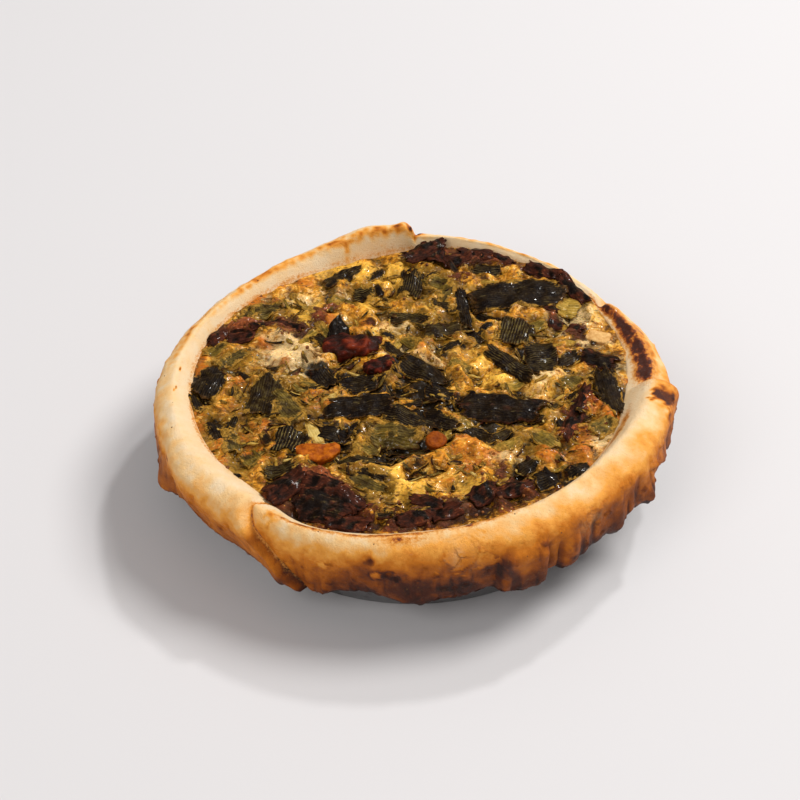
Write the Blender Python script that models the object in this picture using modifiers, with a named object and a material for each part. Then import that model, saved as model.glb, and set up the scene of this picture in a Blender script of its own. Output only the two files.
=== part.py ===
"""A small spinach and leek tart, whole, still in the round tin that it was baked in.

The pastry case is rolled out larger than the tin, so it lines the inside, rolls over the rim and hangs
down outside as an uneven skirt.  The set custard filling fills it, with leaves, shreds and slices on top.
Lengths are in millimetres until a mesh is made, and angles in degrees: 0 to the right, 90 at the back.
The origin is the middle of the tin's underside, with +Z up.
"""

import bpy
import bmesh
import numpy as np
from mathutils import Matrix, Vector, noise
from mathutils.bvhtree import BVHTree
from mathutils.geometry import delaunay_2d_cdt

MM = 0.001
GAP = 0.35

# Tin
TIN_BASE_RADIUS = 71.5
TIN_RIM_RADIUS = 81.0
TIN_HEIGHT = 33.0
TIN_WALL = 0.7
TIN_CORNER = 2.2
TIN_STEPS = 80

# Pastry case
FLOOR_THICKNESS = 4.0
FLOOR_RADIUS = 65.5
SKIRT_THICKNESS = 4.6
ANGLE_STEP = 3.0
FOLD_ANGLE_STEP = 1.5

# The run of the rim, read round the tart: where the filling ends, the crest, the belly and the skirt's edge.
RIM_STATIONS = (
    # angle, filling's radius and height, crest's radius and height, belly's radius, edge's radius and height
    (0, 74.5, 36.0, 84.0, 40.5, 90.5, 89.0, 22.0),
    (15, 77.5, 37.0, 84.0, 40.5, 89.5, 88.5, 21.0),
    (32, 78.5, 38.0, 82.5, 39.0, 87.0, 86.0, 20.0),
    (52, 78.5, 39.0, 81.5, 41.0, 86.0, 85.0, 19.0),
    (72, 78.0, 39.0, 81.0, 41.5, 85.5, 85.0, 19.0),
    (88, 76.5, 38.0, 79.5, 43.0, 85.5, 85.0, 19.0),
    (104, 74.0, 36.5, 79.0, 43.0, 85.5, 85.0, 19.0),
    (122, 73.5, 36.0, 79.5, 41.5, 84.5, 84.0, 19.0),
    (142, 75.5, 35.5, 80.5, 40.0, 85.0, 85.0, 18.0),
    (165, 77.2, 35.0, 82.5, 39.5, 88.0, 88.5, 18.0),
    (185, 76.5, 35.0, 83.5, 39.5, 90.0, 90.5, 18.0),
    (205, 75.2, 35.0, 83.5, 39.5, 89.0, 88.0, 17.0),
    (225, 73.0, 35.0, 81.5, 39.0, 86.5, 82.5, 17.0),
    (242, 76.0, 35.0, 82.0, 39.0, 86.5, 83.0, 14.5),
    (258, 73.5, 35.0, 81.0, 40.0, 86.5, 83.0, 16.5),
    (272, 71.5, 35.5, 79.5, 41.5, 87.0, 84.0, 14.5),
    (290, 71.5, 36.0, 78.5, 43.0, 87.5, 85.0, 18.0),
    (306, 71.5, 36.0, 78.5, 43.5, 88.0, 87.5, 20.0),
    (322, 72.0, 36.0, 78.5, 43.5, 88.0, 88.5, 23.0),
    (338, 72.5, 36.0, 80.0, 43.0, 87.5, 87.0, 23.0),
    (350, 73.0, 36.0, 82.5, 42.0, 88.5, 87.0, 22.0),
)


def wrapped(angle):
    """Angle difference brought into -180 to 180."""
    return (angle + 180.0) % 360.0 - 180.0


def hump(angle, centre, width):
    """Smooth bump of height 1 round one angle."""
    return np.exp(-(wrapped(angle - centre) / width) ** 2)


def ramp(value, start, end):
    """Smooth rise from 0 at start to 1 at end."""
    share = np.clip((value - start) / (end - start), 0.0, 1.0)
    return share * share * (3.0 - 2.0 * share)


def around(column, angle):
    """Smooth closed curve through one column of the rim stations."""
    rows = np.array(RIM_STATIONS)
    knots = np.concatenate([rows[-2:, 0] - 360.0, rows[:, 0], rows[:2, 0] + 360.0])
    values = np.concatenate([rows[-2:, column], rows[:, column], rows[:2, column]])
    slopes = (values[2:] - values[:-2]) / (knots[2:] - knots[:-2])
    angle = np.asarray(angle) % 360.0
    index = np.searchsorted(knots, angle, side="right") - 1
    span = knots[index + 1] - knots[index]
    t = (angle - knots[index]) / span
    start = (1 + 2 * t) * (1 - t) ** 2 * values[index] + t * (1 - t) ** 2 * span * slopes[index - 1]
    end = t * t * (3 - 2 * t) * values[index + 1] + t * t * (t - 1) * span * slopes[index]
    return start + end


def tin_radius(height):
    """Outer radius of the tin's straight wall at a height."""
    return TIN_BASE_RADIUS + (TIN_RIM_RADIUS - TIN_BASE_RADIUS) * height / TIN_HEIGHT


# Folds of the case: from one angle to another, each end soft or sharp, standing out and up by so much.
# lean moves the fold round by that many degrees for each millimetre above FOLD_HEIGHT, and a fold dies
# out above its top.
FOLD_HEIGHT = 30.0
FOLDS = {
    "left piece over the front": dict(start=(214, 14), end=(235, 1.4), lean=-0.6, out=2.8, up=0.8, top=60),
    "front piece over the right": dict(start=(334, 18), end=(358, 1.4), lean=0.0, out=2.2, up=1.8, top=60),
    "flap at the back": dict(start=(86, 1.5), end=(116, 22), lean=0.3, out=0.8, up=3.6, top=60),
    "tab at the front": dict(start=(289, 1.2), end=(300, 1.4), lean=0.0, out=2.1, up=0.0, top=37),
    "pleat beside the tab": dict(start=(304, 1.6), end=(314, 6.0), lean=0.0, out=1.3, up=0.0, top=36),
    "crease on the right": dict(start=(338, 1.6), end=(346, 6.0), lean=-1.0, out=1.2, up=0.0, top=38),
}

# Places where the hanging edge reaches out or down: angle, width, outward, downward.
EDGE_TIPS = {
    "ear at the left": (199, 3.4, 3.0, 2.5),
    "lap tip": (239, 2.6, 1.0, 2.0),
    "low front": (248, 5.0, 1.5, 2.5),
    "low middle": (270, 5.0, 0.5, 1.5),
    "tab foot": (295, 4.0, 1.2, 2.0),
    "burnt tip": (320, 2.2, 1.0, 2.0),
    "burnt corner": (332, 2.6, 3.0, 2.0),
    "right corner": (352, 3.0, 1.5, 1.5),
}
CRUST_RELIEF = 0.45
CRUST_RELIEF_SCALE = 11.0


def fold_share(fold, angle, height):
    """How far a fold is raised at an angle and height, from 0 to 1."""
    turned = wrapped(angle - fold["lean"] * (height - FOLD_HEIGHT) - fold["start"][0])
    length = fold["end"][0] - fold["start"][0]
    rise = ramp(turned, -fold["start"][1], 0.0)
    fall = 1.0 - ramp(turned, length - fold["end"][1], length)
    return rise * fall * (1.0 - ramp(height, fold["top"] - 5.0, fold["top"]))


def rim_section(angle):
    """The case's outer run at one angle, from the filling's edge over the crest to the hanging edge."""
    fill_r, fill_z, crest_r, crest_z, belly_r, edge_r, edge_z = (around(i, angle) for i in range(1, 8))
    for tip_angle, width, outward, downward in EDGE_TIPS.values():
        share = hump(angle, tip_angle, width)
        edge_r = edge_r + outward * share
        edge_z = edge_z - downward * share
    crest_z = crest_z + sum(f["up"] * fold_share(f, angle, crest_z) for f in FOLDS.values())
    slope_r = fill_r + 0.55 * (crest_r - fill_r)
    slope_z = fill_z + 0.68 * (crest_z - fill_z)
    middle_z = 0.5 * (crest_z + edge_z)
    points = [
        (fill_r + GAP, fill_z),
        (slope_r, slope_z),
        (crest_r, crest_z),
        (crest_r + 0.72 * (belly_r - crest_r), crest_z - 2.8),
        (belly_r, 0.5 * (middle_z + crest_z - 2.0)),
        (belly_r + 0.3 * (edge_r - belly_r), middle_z - 1.0),
        (edge_r, edge_z + 3.0),
        (edge_r - 1.4, edge_z),
    ]
    return np.array(points)


def smooth_run(points, steps):
    """Points along a smooth curve through the given points, with so many steps between neighbours."""
    padded = np.vstack([2 * points[0] - points[1], points, 2 * points[-1] - points[-2]])
    run = []
    for before, start, end, after in zip(padded, padded[1:], padded[2:], padded[3:]):
        for step in range(steps):
            t = step / steps
            run.append(0.5 * (2 * start + (end - before) * t
                              + (2 * before - 5 * start + 4 * end - after) * t * t
                              + (3 * start - before - 3 * end + after) * t ** 3))
    run.append(points[-1])
    return np.array(run)


def crust_section(angle, steps=2):
    """Closed section of the case from the middle of its floor's top to the middle of its underside."""
    outer = smooth_run(rim_section(angle), steps)
    share = np.linspace(0.0, 1.0, len(outer))
    direction = np.array([np.cos(np.radians(angle)), np.sin(np.radians(angle))])
    for k in range(1, len(outer)):
        r, z = outer[k]
        out = sum(f["out"] * fold_share(f, angle, z) for f in FOLDS.values())
        place = Vector((direction[0] * r, direction[1] * r, z)) / CRUST_RELIEF_SCALE
        relief = CRUST_RELIEF * noise.noise(place)
        outer[k, 0] += (out + relief) * ramp(share[k], 0.18, 0.45)
        outer[k, 1] += relief * ramp(share[k], 0.0, 0.2) * (1.0 - ramp(share[k], 0.3, 0.6))
    edge_r, edge_z = outer[-1]
    inner_edge_z = edge_z + 1.0
    inner_middle_z = 0.5 * (inner_edge_z + TIN_HEIGHT)
    inner = [
        (max(tin_radius(inner_edge_z) + GAP, edge_r - SKIRT_THICKNESS + 1.4), inner_edge_z),
        (max(tin_radius(inner_middle_z) + GAP, outer[-5, 0] - SKIRT_THICKNESS), inner_middle_z),
        (tin_radius(TIN_HEIGHT) + GAP + 0.4, TIN_HEIGHT - 1.0),
        (tin_radius(TIN_HEIGHT) + GAP, TIN_HEIGHT + GAP),
        (tin_radius(TIN_HEIGHT) - TIN_WALL - GAP, TIN_HEIGHT + GAP),
        (tin_radius(TIN_WALL + TIN_CORNER) - TIN_WALL - 1.6, TIN_WALL + TIN_CORNER),
        (TIN_BASE_RADIUS - TIN_CORNER - TIN_WALL - 0.8, TIN_WALL + GAP),
    ]
    floor_top = TIN_WALL + GAP + FLOOR_THICKNESS
    return np.vstack([[(FLOOR_RADIUS, floor_top)], outer, inner])


def section_angles():
    """Angles of the case's sections, closer together where it is folded."""
    angles = []
    angle = 0.0
    while angle < 360.0 - 0.5 * FOLD_ANGLE_STEP:
        angles.append(angle)
        folded = any(
            min(abs(wrapped(angle - f["start"][0])), abs(wrapped(angle - f["end"][0]))) < 3.0
            for f in FOLDS.values()
        )
        angle += FOLD_ANGLE_STEP if folded else ANGLE_STEP
    return angles


ANGLES = section_angles()


def collection_named(name):
    """A new collection in the scene."""
    made = bpy.data.collections.new(name)
    bpy.context.scene.collection.children.link(made)
    return made


def material(name, colour, roughness, metallic=0.0):
    """Principled material of one colour."""
    made = bpy.data.materials.new(name)
    made.use_nodes = True
    shader = made.node_tree.nodes["Principled BSDF"]
    shader.inputs["Base Color"].default_value = (*colour, 1.0)
    shader.inputs["Roughness"].default_value = roughness
    shader.inputs["Metallic"].default_value = metallic
    return made


def object_from(name, vertices, faces, collection, finish):
    """A closed mesh object from vertices in millimetres, its faces turned outwards."""
    mesh = bpy.data.meshes.new(name)
    mesh.from_pydata([Vector(v) * MM for v in vertices], [], faces)
    shape = bmesh.new()
    shape.from_mesh(mesh)
    bmesh.ops.recalc_face_normals(shape, faces=shape.faces)
    bmesh.ops.triangulate(shape, faces=shape.faces)
    shape.to_mesh(mesh)
    shape.free()
    mesh.shade_smooth()
    mesh.materials.append(finish)
    made = bpy.data.objects.new(name, mesh)
    collection.objects.link(made)
    return made


def make_tin(collection):
    """Thin pressed tin: a turned profile, from its floor's middle up the inside and down the outside."""
    inner_base = TIN_BASE_RADIUS - TIN_WALL
    profile = [
        (0.0, TIN_WALL),
        (inner_base - TIN_CORNER, TIN_WALL),
        (tin_radius(TIN_CORNER) - TIN_WALL, TIN_WALL + TIN_CORNER),
        (TIN_RIM_RADIUS - TIN_WALL, TIN_HEIGHT),
        (TIN_RIM_RADIUS, TIN_HEIGHT),
        (tin_radius(TIN_CORNER), TIN_CORNER),
        (TIN_BASE_RADIUS - TIN_CORNER, 0.0),
        (0.0, 0.0),
    ]
    mesh = bpy.data.meshes.new("tin")
    vertices = [(r * MM, 0.0, z * MM) for r, z in profile]
    mesh.from_pydata(vertices, [(k, k + 1) for k in range(len(profile) - 1)], [])
    mesh.materials.append(material("tin", (0.70, 0.70, 0.71), 0.3, 1.0))
    tin = bpy.data.objects.new("tin", mesh)
    collection.objects.link(tin)
    turn = tin.modifiers.new("turned", "SCREW")
    turn.steps = TIN_STEPS
    turn.render_steps = TIN_STEPS
    turn.use_merge_vertices = True
    turn.merge_threshold = 0.00005
    return tin


def make_crust(collection):
    """Pastry case: one closed loft of unlike sections round the tart, closed by its floor in the middle."""
    sections = [crust_section(angle) for angle in ANGLES]
    count = len(sections[0])
    vertices = []
    for angle, section in zip(ANGLES, sections):
        c, s = np.cos(np.radians(angle)), np.sin(np.radians(angle))
        vertices += [(r * c, r * s, z) for r, z in section]
    faces = []
    for i in range(len(ANGLES)):
        here = i * count
        there = (i + 1) % len(ANGLES) * count
        faces += [(here + k, there + k, there + k + 1, here + k + 1) for k in range(count - 1)]
    faces.append([i * count for i in range(len(ANGLES))])
    faces.append([i * count + count - 1 for i in range(len(ANGLES))])
    return object_from("crust", vertices, faces, collection, material("crust", (0.78, 0.58, 0.34), 0.6))


# Filling
FILLING_CENTRE_HEIGHT = 36.5
FILLING_MESH_SPACING = 4.6
LUMP_SCALE = 8.5
LUMP_HEIGHT = 2.4

# Mounds and hollows of the baked custard: x, y, radius, height.
MOUNDS = {
    "burnt mound at the front left": (-34, -49, 12, 2.6),
    "front ridge": (22, -57, 13, 1.6),
    "front left middle": (-12, -46, 8, 1.6),
    "front right": (50, -40, 10, 1.4),
    "beside the chunk": (-8, 9, 9, 1.5),
    "back ridge": (12, 64, 14, 1.8),
    "back right": (42, 52, 14, 1.4),
    "left middle": (-48, 24, 14, 1.0),
    "right edge": (62, -8, 9, 1.2),
    "hollow at the front": (-10, -31, 6, -2.2),
    "hollow behind the rolled leaf": (24, 2, 7, -1.4),
    "hollow at the left": (-62, -24, 8, -1.4),
    "seat of the red chunk": (-22, 20, 12, -1.2),
}


def filling_height(x, y):
    """Height of the filling's top at a place."""
    angle = np.degrees(np.arctan2(y, x))
    share = min(np.hypot(x, y) / around(1, angle), 1.0)
    edge = around(2, angle)
    height = FILLING_CENTRE_HEIGHT + (edge - FILLING_CENTRE_HEIGHT) * share ** 2
    free = 1.0 - share ** 10
    height += free * LUMP_HEIGHT * noise.noise(Vector((x, y, 0.0)) / LUMP_SCALE)
    for mound_x, mound_y, radius, rise in MOUNDS.values():
        height += free * rise * np.exp(-((x - mound_x) ** 2 + (y - mound_y) ** 2) / radius ** 2)
    return float(height)


def make_filling(collection):
    """Set custard: a plug with an uneven top that fills the case up to its edge."""
    rim = [(around(1, a) * np.cos(np.radians(a)), around(1, a) * np.sin(np.radians(a))) for a in ANGLES]
    inside = []
    draw = np.random.default_rng(7)
    row_gap = FILLING_MESH_SPACING * np.sqrt(0.75)
    rows = int(2 * TIN_RIM_RADIUS / row_gap)
    for row in range(rows):
        for column in range(rows):
            x = (column - 0.5 * rows + 0.5 * (row % 2)) * FILLING_MESH_SPACING
            y = (row - 0.5 * rows) * row_gap
            x, y = np.array((x, y)) + draw.uniform(-0.8, 0.8, 2)
            if np.hypot(x, y) < around(1, np.degrees(np.arctan2(y, x))) - 0.7 * FILLING_MESH_SPACING:
                inside.append((x, y))
    plan = [Vector(p) for p in rim + inside]
    outline = [(k, (k + 1) % len(rim)) for k in range(len(rim))]
    plan, _, faces = delaunay_2d_cdt(plan, outline, [], 1, 1e-4)[:3]
    vertices = [(p.x, p.y, filling_height(p.x, p.y)) for p in plan]
    floor = TIN_WALL + 2 * GAP + FLOOR_THICKNESS
    start = len(vertices)
    for angle in ANGLES:
        radius = FLOOR_RADIUS - GAP
        vertices.append((radius * np.cos(np.radians(angle)), radius * np.sin(np.radians(angle)), floor))
    ring = len(ANGLES)
    sides = [(k, (k + 1) % ring, start + (k + 1) % ring, start + k) for k in range(ring)]
    faces = [tuple(f) for f in faces] + sides + [tuple(range(start, start + ring))]
    return object_from("filling", vertices, faces, collection, material("filling", (0.52, 0.42, 0.16), 0.5))


# Leaves large enough to be pieces of their own: x, y, turn, length, width, tip (0 square to 1 pointed), lift.
LEAVES = {
    "leaf_back": (41, 49, -8, 29, 14, 0.35, 1.2),
    "leaf_front": (29, -13, -10, 27, 12, 0.45, 2.0),
    "leaf_centre": (-19, -15, 4, 25, 9, 0.4, 0.6),
    "leaf_middle": (4, 3, -35, 17, 8, 0.4, 0.8),
    "leaf_ribbed": (46, 14, 72, 18, 8, 0.0, 0.6),
    "leaf_square": (35, 29, -35, 13, 7, 0.0, 0.5),
    "leaf_rolled": (33, 8, -35, 14, 6, 0.4, 1.2),
    "leaf_strip": (18, 41, 86, 24, 4.5, 0.3, 0.6),
    "leaf_back_left": (-2, 56, -60, 14, 7, 0.5, 0.6),
    "leaf_burnt": (7, 69, -20, 18, 8, 0.8, 3.2),
    "leaf_slanted": (-27, 60, 40, 17, 7, 0.5, 0.5),
    "leaf_pointed": (-25.5, 31.5, 84, 11, 6, 1.0, 1.6),
    "leaf_left": (-67, 0, 70, 14, 8, 0.4, 0.8),
    "leaf_left_middle": (-53, -11, 80, 13, 7, 0.3, 0.5),
    "leaf_striped": (-42, -30, 35, 11, 8, 0.0, 0.6),
    "leaf_framed": (-45, -44, 12, 11, 5, 0.0, 0.5),
    "leaf_right": (66, 3, -74, 28, 6, 0.5, 0.8),
}
LEAF_THICKNESS = 0.9
LEAF_WAVE = 0.45
LEAF_CELLS = (5, 2)
LEAF_SEAT_REACH = 2.6

# Chunks and slices: x, y, turn, length, width, height, rounding (1 an ellipse, less a squarer shape).
CHUNKS = {
    "red_chunk": (-21, 17, 4, 22, 13.0, 7.0, 0.7),
    "red_chip": (-10, 5.5, 70, 10, 8, 4.5, 0.8),
    "orange_slice": (-30, -36, 6, 12, 7, 2.4, 0.7),
    "coin_slice": (8, -32, 0, 7.5, 7.5, 2.6, 1.0),
    "pale_slice": (66, 26, -15, 9, 5.5, 2.4, 0.7),
}
CHUNK_COLOURS = {
    "red_chunk": (0.16, 0.03, 0.02),
    "red_chip": (0.16, 0.03, 0.02),
    "orange_slice": (0.62, 0.28, 0.10),
    "coin_slice": (0.58, 0.36, 0.12),
    "pale_slice": (0.62, 0.48, 0.24),
}
CHUNK_SIDES = 14
CHUNK_SWELL = 0.35
CHUNK_SWELL_SCALE = 3.0
CHUNK_SEAT_REACH = 1.0
CHUNK_RINGS = ((0.82, 0.0), (1.0, 0.35), (0.92, 0.8), (0.55, 1.0))


def surface_under(tree, x, y, reach):
    """Highest point of the filling's top near a place, in millimetres."""
    highest = 0.0
    for step_x in (-reach, 0.0, reach):
        for step_y in (-reach, 0.0, reach):
            start = Vector((x + step_x, y + step_y, 2 * TIN_HEIGHT)) * MM
            hit = tree.ray_cast(start, Vector((0.0, 0.0, -1.0)))[0]
            highest = max(highest, hit.z / MM if hit else 0.0)
    return highest


def leaf_vertices(place, length, width, tip, base_height, lift, cells):
    """Two like faces of a wavy leaf, lower then upper, with the height under it from a function."""
    along, across = cells
    lower = []
    for i in range(along + 1):
        u = i / along - 0.5
        taper = 1.0 - tip * max(0.0, 2 * u) ** 1.5 - 0.6 * tip * max(0.0, -2 * u) ** 2.5
        for j in range(across + 1):
            v = (j / across - 0.5) * max(taper, 0.12)
            point = place @ Vector((u * length, v * width, 0.0))
            rise = lift * ramp(abs(u), 0.1, 0.5) + LEAF_WAVE * (1.0 + np.sin(9.0 * u + 5.0 * v))
            lower.append((point.x, point.y, base_height(point.x, point.y) + rise))
    return lower + [(x, y, z + LEAF_THICKNESS) for x, y, z in lower]


def leaf_faces(cells):
    """Faces of a closed thin solid over a grid, both faces split alike."""
    along, across = cells
    row = across + 1
    top = (along + 1) * row
    faces = []
    for i in range(along):
        for j in range(across):
            a, b, c, d = i * row + j, (i + 1) * row + j, (i + 1) * row + j + 1, i * row + j + 1
            faces += [(a, c, b), (a, d, c), (a + top, b + top, c + top), (a + top, c + top, d + top)]
    border = [i * row for i in range(along)] + [along * row + j for j in range(across)]
    border += [i * row + across for i in range(along, 0, -1)] + [j for j in range(across, 0, -1)]
    for a, b in zip(border, border[1:] + border[:1]):
        faces.append((a, b, b + top, a + top))
    return faces


def turned_place(x, y, turn):
    """Matrix that turns a flat shape about Z and puts it at a place."""
    return Matrix.Translation((x, y, 0.0)) @ Matrix.Rotation(np.radians(turn), 4, "Z")


def make_leaves(collection, tree):
    """The larger leaves, each lying on the filling in a node of its own."""
    finish = material("leaf", (0.06, 0.07, 0.03), 0.4)

    def resting_height(x, y):
        return surface_under(tree, x, y, LEAF_SEAT_REACH) + GAP

    for name, (x, y, turn, length, width, tip, lift) in LEAVES.items():
        place = turned_place(x, y, turn)
        vertices = leaf_vertices(place, length, width, tip, resting_height, lift, LEAF_CELLS)
        object_from(name, vertices, leaf_faces(LEAF_CELLS), collection, finish)


def make_chunks(collection, tree):
    """Slices and chunks: rounded blocks with a flat underside, each in its seat."""
    for name, (x, y, turn, length, width, height, rounding) in CHUNKS.items():
        place = turned_place(x, y, turn)
        power = 2.0 / (2.0 + 3.0 * (1.0 - rounding))
        outline = []
        for side in range(CHUNK_SIDES):
            a = 2 * np.pi * side / CHUNK_SIDES
            reach = (abs(np.cos(a)) ** (2 / power) + abs(np.sin(a)) ** (2 / power)) ** (-0.5 * power)
            outline.append((0.5 * length * reach * np.cos(a), 0.5 * width * reach * np.sin(a)))
        seats = [place @ Vector((px, py, 0.0)) for px, py in outline]
        floor = max(surface_under(tree, seat.x, seat.y, CHUNK_SEAT_REACH) for seat in seats)
        vertices = []
        for spread, level in CHUNK_RINGS:
            for px, py in outline:
                point = place @ Vector((px * spread, py * spread, 0.0))
                spot = Vector((point.x, point.y, level * height)) / CHUNK_SWELL_SCALE
                swell = CHUNK_SWELL * noise.noise(spot)
                vertices.append((point.x, point.y, floor + GAP + level * (height + swell)))
        faces = [tuple(range(CHUNK_SIDES))]
        for ring in range(len(CHUNK_RINGS) - 1):
            low = ring * CHUNK_SIDES
            for k in range(CHUNK_SIDES):
                after = (k + 1) % CHUNK_SIDES
                faces.append((low + k, low + after, low + CHUNK_SIDES + after, low + CHUNK_SIDES + k))
        last = (len(CHUNK_RINGS) - 1) * CHUNK_SIDES
        faces.append(tuple(range(last, last + CHUNK_SIDES)))
        object_from(name, vertices, faces, collection, material(name, CHUNK_COLOURS[name], 0.45))


# Small shreds of leaf baked into the filling's top, as one solid with it.
SHRED_COUNT = 44
SHRED_TRIES = 4000
SHRED_LENGTHS = (5.0, 11.0)
SHRED_WIDTHS = (2.2, 3.6)
SHRED_CELLS = (3, 1)
SHRED_CLEARANCE = 2.2
SHRED_SPACING = 8.0
SHRED_SINK = 0.35


def clear_of_toppings(x, y, reach):
    """True where a shred of this reach touches none of the pieces that are nodes."""
    pieces = [row[:5] for row in LEAVES.values()] + [row[:5] for row in CHUNKS.values()]
    for piece_x, piece_y, turn, length, width in pieces:
        local = turned_place(piece_x, piece_y, turn).inverted() @ Vector((x, y, 0.0))
        outside = np.hypot(max(abs(local.x) - 0.5 * length, 0.0), max(abs(local.y) - 0.5 * width, 0.0))
        if outside < reach + SHRED_CLEARANCE:
            return False
    return True


def scattered_shreds(draw):
    """Places of the small shreds, spread evenly where the filling is free."""
    found = []
    for _ in range(SHRED_TRIES):
        if len(found) == SHRED_COUNT:
            break
        x, y = draw.uniform(-TIN_RIM_RADIUS, TIN_RIM_RADIUS, 2)
        length = draw.uniform(*SHRED_LENGTHS)
        width = draw.uniform(*SHRED_WIDTHS)
        inside = np.hypot(x, y) < around(1, np.degrees(np.arctan2(y, x))) - 0.5 * length - 2.5
        spread = all(np.hypot(x - other[0], y - other[1]) > SHRED_SPACING for other in found)
        if inside and spread and clear_of_toppings(x, y, 0.5 * length):
            found.append((x, y, draw.uniform(0, 180), length, width))
    return found


def fuse_shreds(filling, collection):
    """Joins the small shreds to the filling with one union, and applies it."""
    finish = filling.data.materials[0]
    for index, (x, y, turn, length, width) in enumerate(scattered_shreds(np.random.default_rng(21))):
        place = turned_place(x, y, turn)

        def sunk_height(px, py):
            return filling_height(px, py) - SHRED_SINK

        vertices = leaf_vertices(place, length, width, 0.2, sunk_height, 0.3, SHRED_CELLS)
        shred = object_from(f"shred_{index}", vertices, leaf_faces(SHRED_CELLS), collection, finish)
        shred.hide_render = True
        shred.display_type = "WIRE"
    union = filling.modifiers.new("shreds", "BOOLEAN")
    union.operation = "UNION"
    union.operand_type = "COLLECTION"
    union.collection = collection
    union.solver = "EXACT"
    evaluated = filling.evaluated_get(bpy.context.evaluated_depsgraph_get())
    joined = bpy.data.meshes.new_from_object(evaluated)
    filling.modifiers.remove(union)
    filling.data = joined
    for shred in list(collection.objects):
        bpy.data.objects.remove(shred)
    bpy.data.collections.remove(collection)


def main():
    for old in list(bpy.data.objects):
        bpy.data.objects.remove(old)
    tart = collection_named("spinach_tart")
    shreds = collection_named("cutters")
    make_tin(tart)
    make_crust(tart)
    filling = make_filling(tart)
    shape = filling.data
    tree = BVHTree.FromPolygons([v.co for v in shape.vertices], [p.vertices for p in shape.polygons])
    make_leaves(tart, tree)
    make_chunks(tart, tree)
    fuse_shreds(filling, shreds)


main()
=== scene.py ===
# %% [markdown]
# A spinach and leek tart in its tin
#
# This lesson dresses a tart whose solids are already made: a thin round tin, a pastry case that rolls
# over its rim, a set custard filling, and leaves and slices on top.  The solids give the size and the
# place of everything.  Here each one gets its real surface: browned pastry with folds and blisters,
# craggy custard, ribbed leek leaves, moist slices and crinkled metal.
#
# Lengths are in millimetres until a mesh is made, because a tart is easier to think about that way.

# %% Load the solids
import math
from functools import lru_cache

import bmesh
import bpy
import numpy as np
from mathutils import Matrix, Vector, noise


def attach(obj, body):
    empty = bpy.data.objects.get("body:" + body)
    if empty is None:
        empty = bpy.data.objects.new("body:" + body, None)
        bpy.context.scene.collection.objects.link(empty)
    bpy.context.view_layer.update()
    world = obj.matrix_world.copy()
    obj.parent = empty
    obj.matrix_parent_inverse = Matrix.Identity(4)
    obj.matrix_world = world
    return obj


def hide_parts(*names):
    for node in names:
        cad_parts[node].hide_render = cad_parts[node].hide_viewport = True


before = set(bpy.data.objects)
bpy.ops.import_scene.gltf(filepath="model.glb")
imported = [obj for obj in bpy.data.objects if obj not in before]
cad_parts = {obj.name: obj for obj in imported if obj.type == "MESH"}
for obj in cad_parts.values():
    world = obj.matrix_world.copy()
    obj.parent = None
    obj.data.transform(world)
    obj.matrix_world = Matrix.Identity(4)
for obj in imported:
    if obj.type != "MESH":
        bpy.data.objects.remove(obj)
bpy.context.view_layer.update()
MM = 0.001

# %% [markdown]
# The camera comes first, so that every later piece can be compared with the photograph.  It looks down
# at 41 degrees from 72 cm away, with a long lens, which is why the round tart is drawn as a calm ellipse
# with little perspective.  It looks a little left of the tart's middle, and a little below its top.

# %% Camera
CAMERA_TARGET = Vector((-4.2, -2.7, 31.8)) * MM
CAMERA_DISTANCE = 720 * MM
CAMERA_ELEVATION = math.radians(41.0)
CAMERA_LENS = 92.7

camera_data = bpy.data.cameras.new("camera")
camera_data.lens = CAMERA_LENS
camera_data.sensor_width = 36.0
camera_data.clip_end = 50.0
camera = bpy.data.objects.new("camera", camera_data)
bpy.context.scene.collection.objects.link(camera)
backwards = Vector((0.0, -math.cos(CAMERA_ELEVATION), math.sin(CAMERA_ELEVATION)))
camera.location = CAMERA_TARGET + backwards * CAMERA_DISTANCE
camera.rotation_euler = (math.pi / 2 - CAMERA_ELEVATION, 0.0, 0.0)
bpy.context.scene.camera = camera
print("camera at", [round(v, 3) for v in camera.location])

# %% [markdown]
# Soft light makes food look fresh.  A wide area light at the right and a little behind stands for a window,
# so that it lights the left wall inside the crust and skims over every rib and crag.  A small one further
# back gives the moist parts their glints, a weaker wide one in front opens the shadows, and a pale
# world fills the rest.  Standard colour management keeps the browns as painted.

# %% Lights and floor
scene = bpy.context.scene
scene.view_settings.view_transform = "Standard"
LIGHT_AIM = Vector((0.0, 0.0, 0.03))
ROOM_BRIGHTNESS = 0.33


def area_light(name, place, size, power, colour):
    """Round light that points at the tart's middle."""
    data = bpy.data.lights.new(name, "AREA")
    data.shape = "DISK"
    data.size = size
    data.energy = power
    data.color = colour
    light = bpy.data.objects.new(name, data)
    light.location = place
    light.rotation_euler = (LIGHT_AIM - Vector(place)).to_track_quat("-Z", "Y").to_euler()
    scene.collection.objects.link(light)


area_light("window", (1.25, 0.45, 1.75), 0.9, 35.0, (1.0, 0.985, 0.965))
area_light("glint", (0.75, 1.05, 1.5), 0.16, 11.0, (1.0, 1.0, 1.0))
area_light("front fill", (-1.0, -1.3, 1.5), 1.5, 15.5, (1.0, 0.98, 0.97))

world = bpy.data.worlds.new("room")
world.use_nodes = True
world.node_tree.nodes["Background"].inputs["Color"].default_value = (1.0, 0.985, 0.98, 1.0)
world.node_tree.nodes["Background"].inputs["Strength"].default_value = ROOM_BRIGHTNESS
scene.world = world

FLOOR_SIZE = 3.0
floor_mesh = bpy.data.meshes.new("floor")
corners = [(x * FLOOR_SIZE, y * FLOOR_SIZE, 0.0) for x, y in ((-1, -1), (1, -1), (1, 1), (-1, 1))]
floor_mesh.from_pydata(corners, [], [(0, 1, 2, 3)])
floor = bpy.data.objects.new("floor", floor_mesh)
scene.collection.objects.link(floor)

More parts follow.
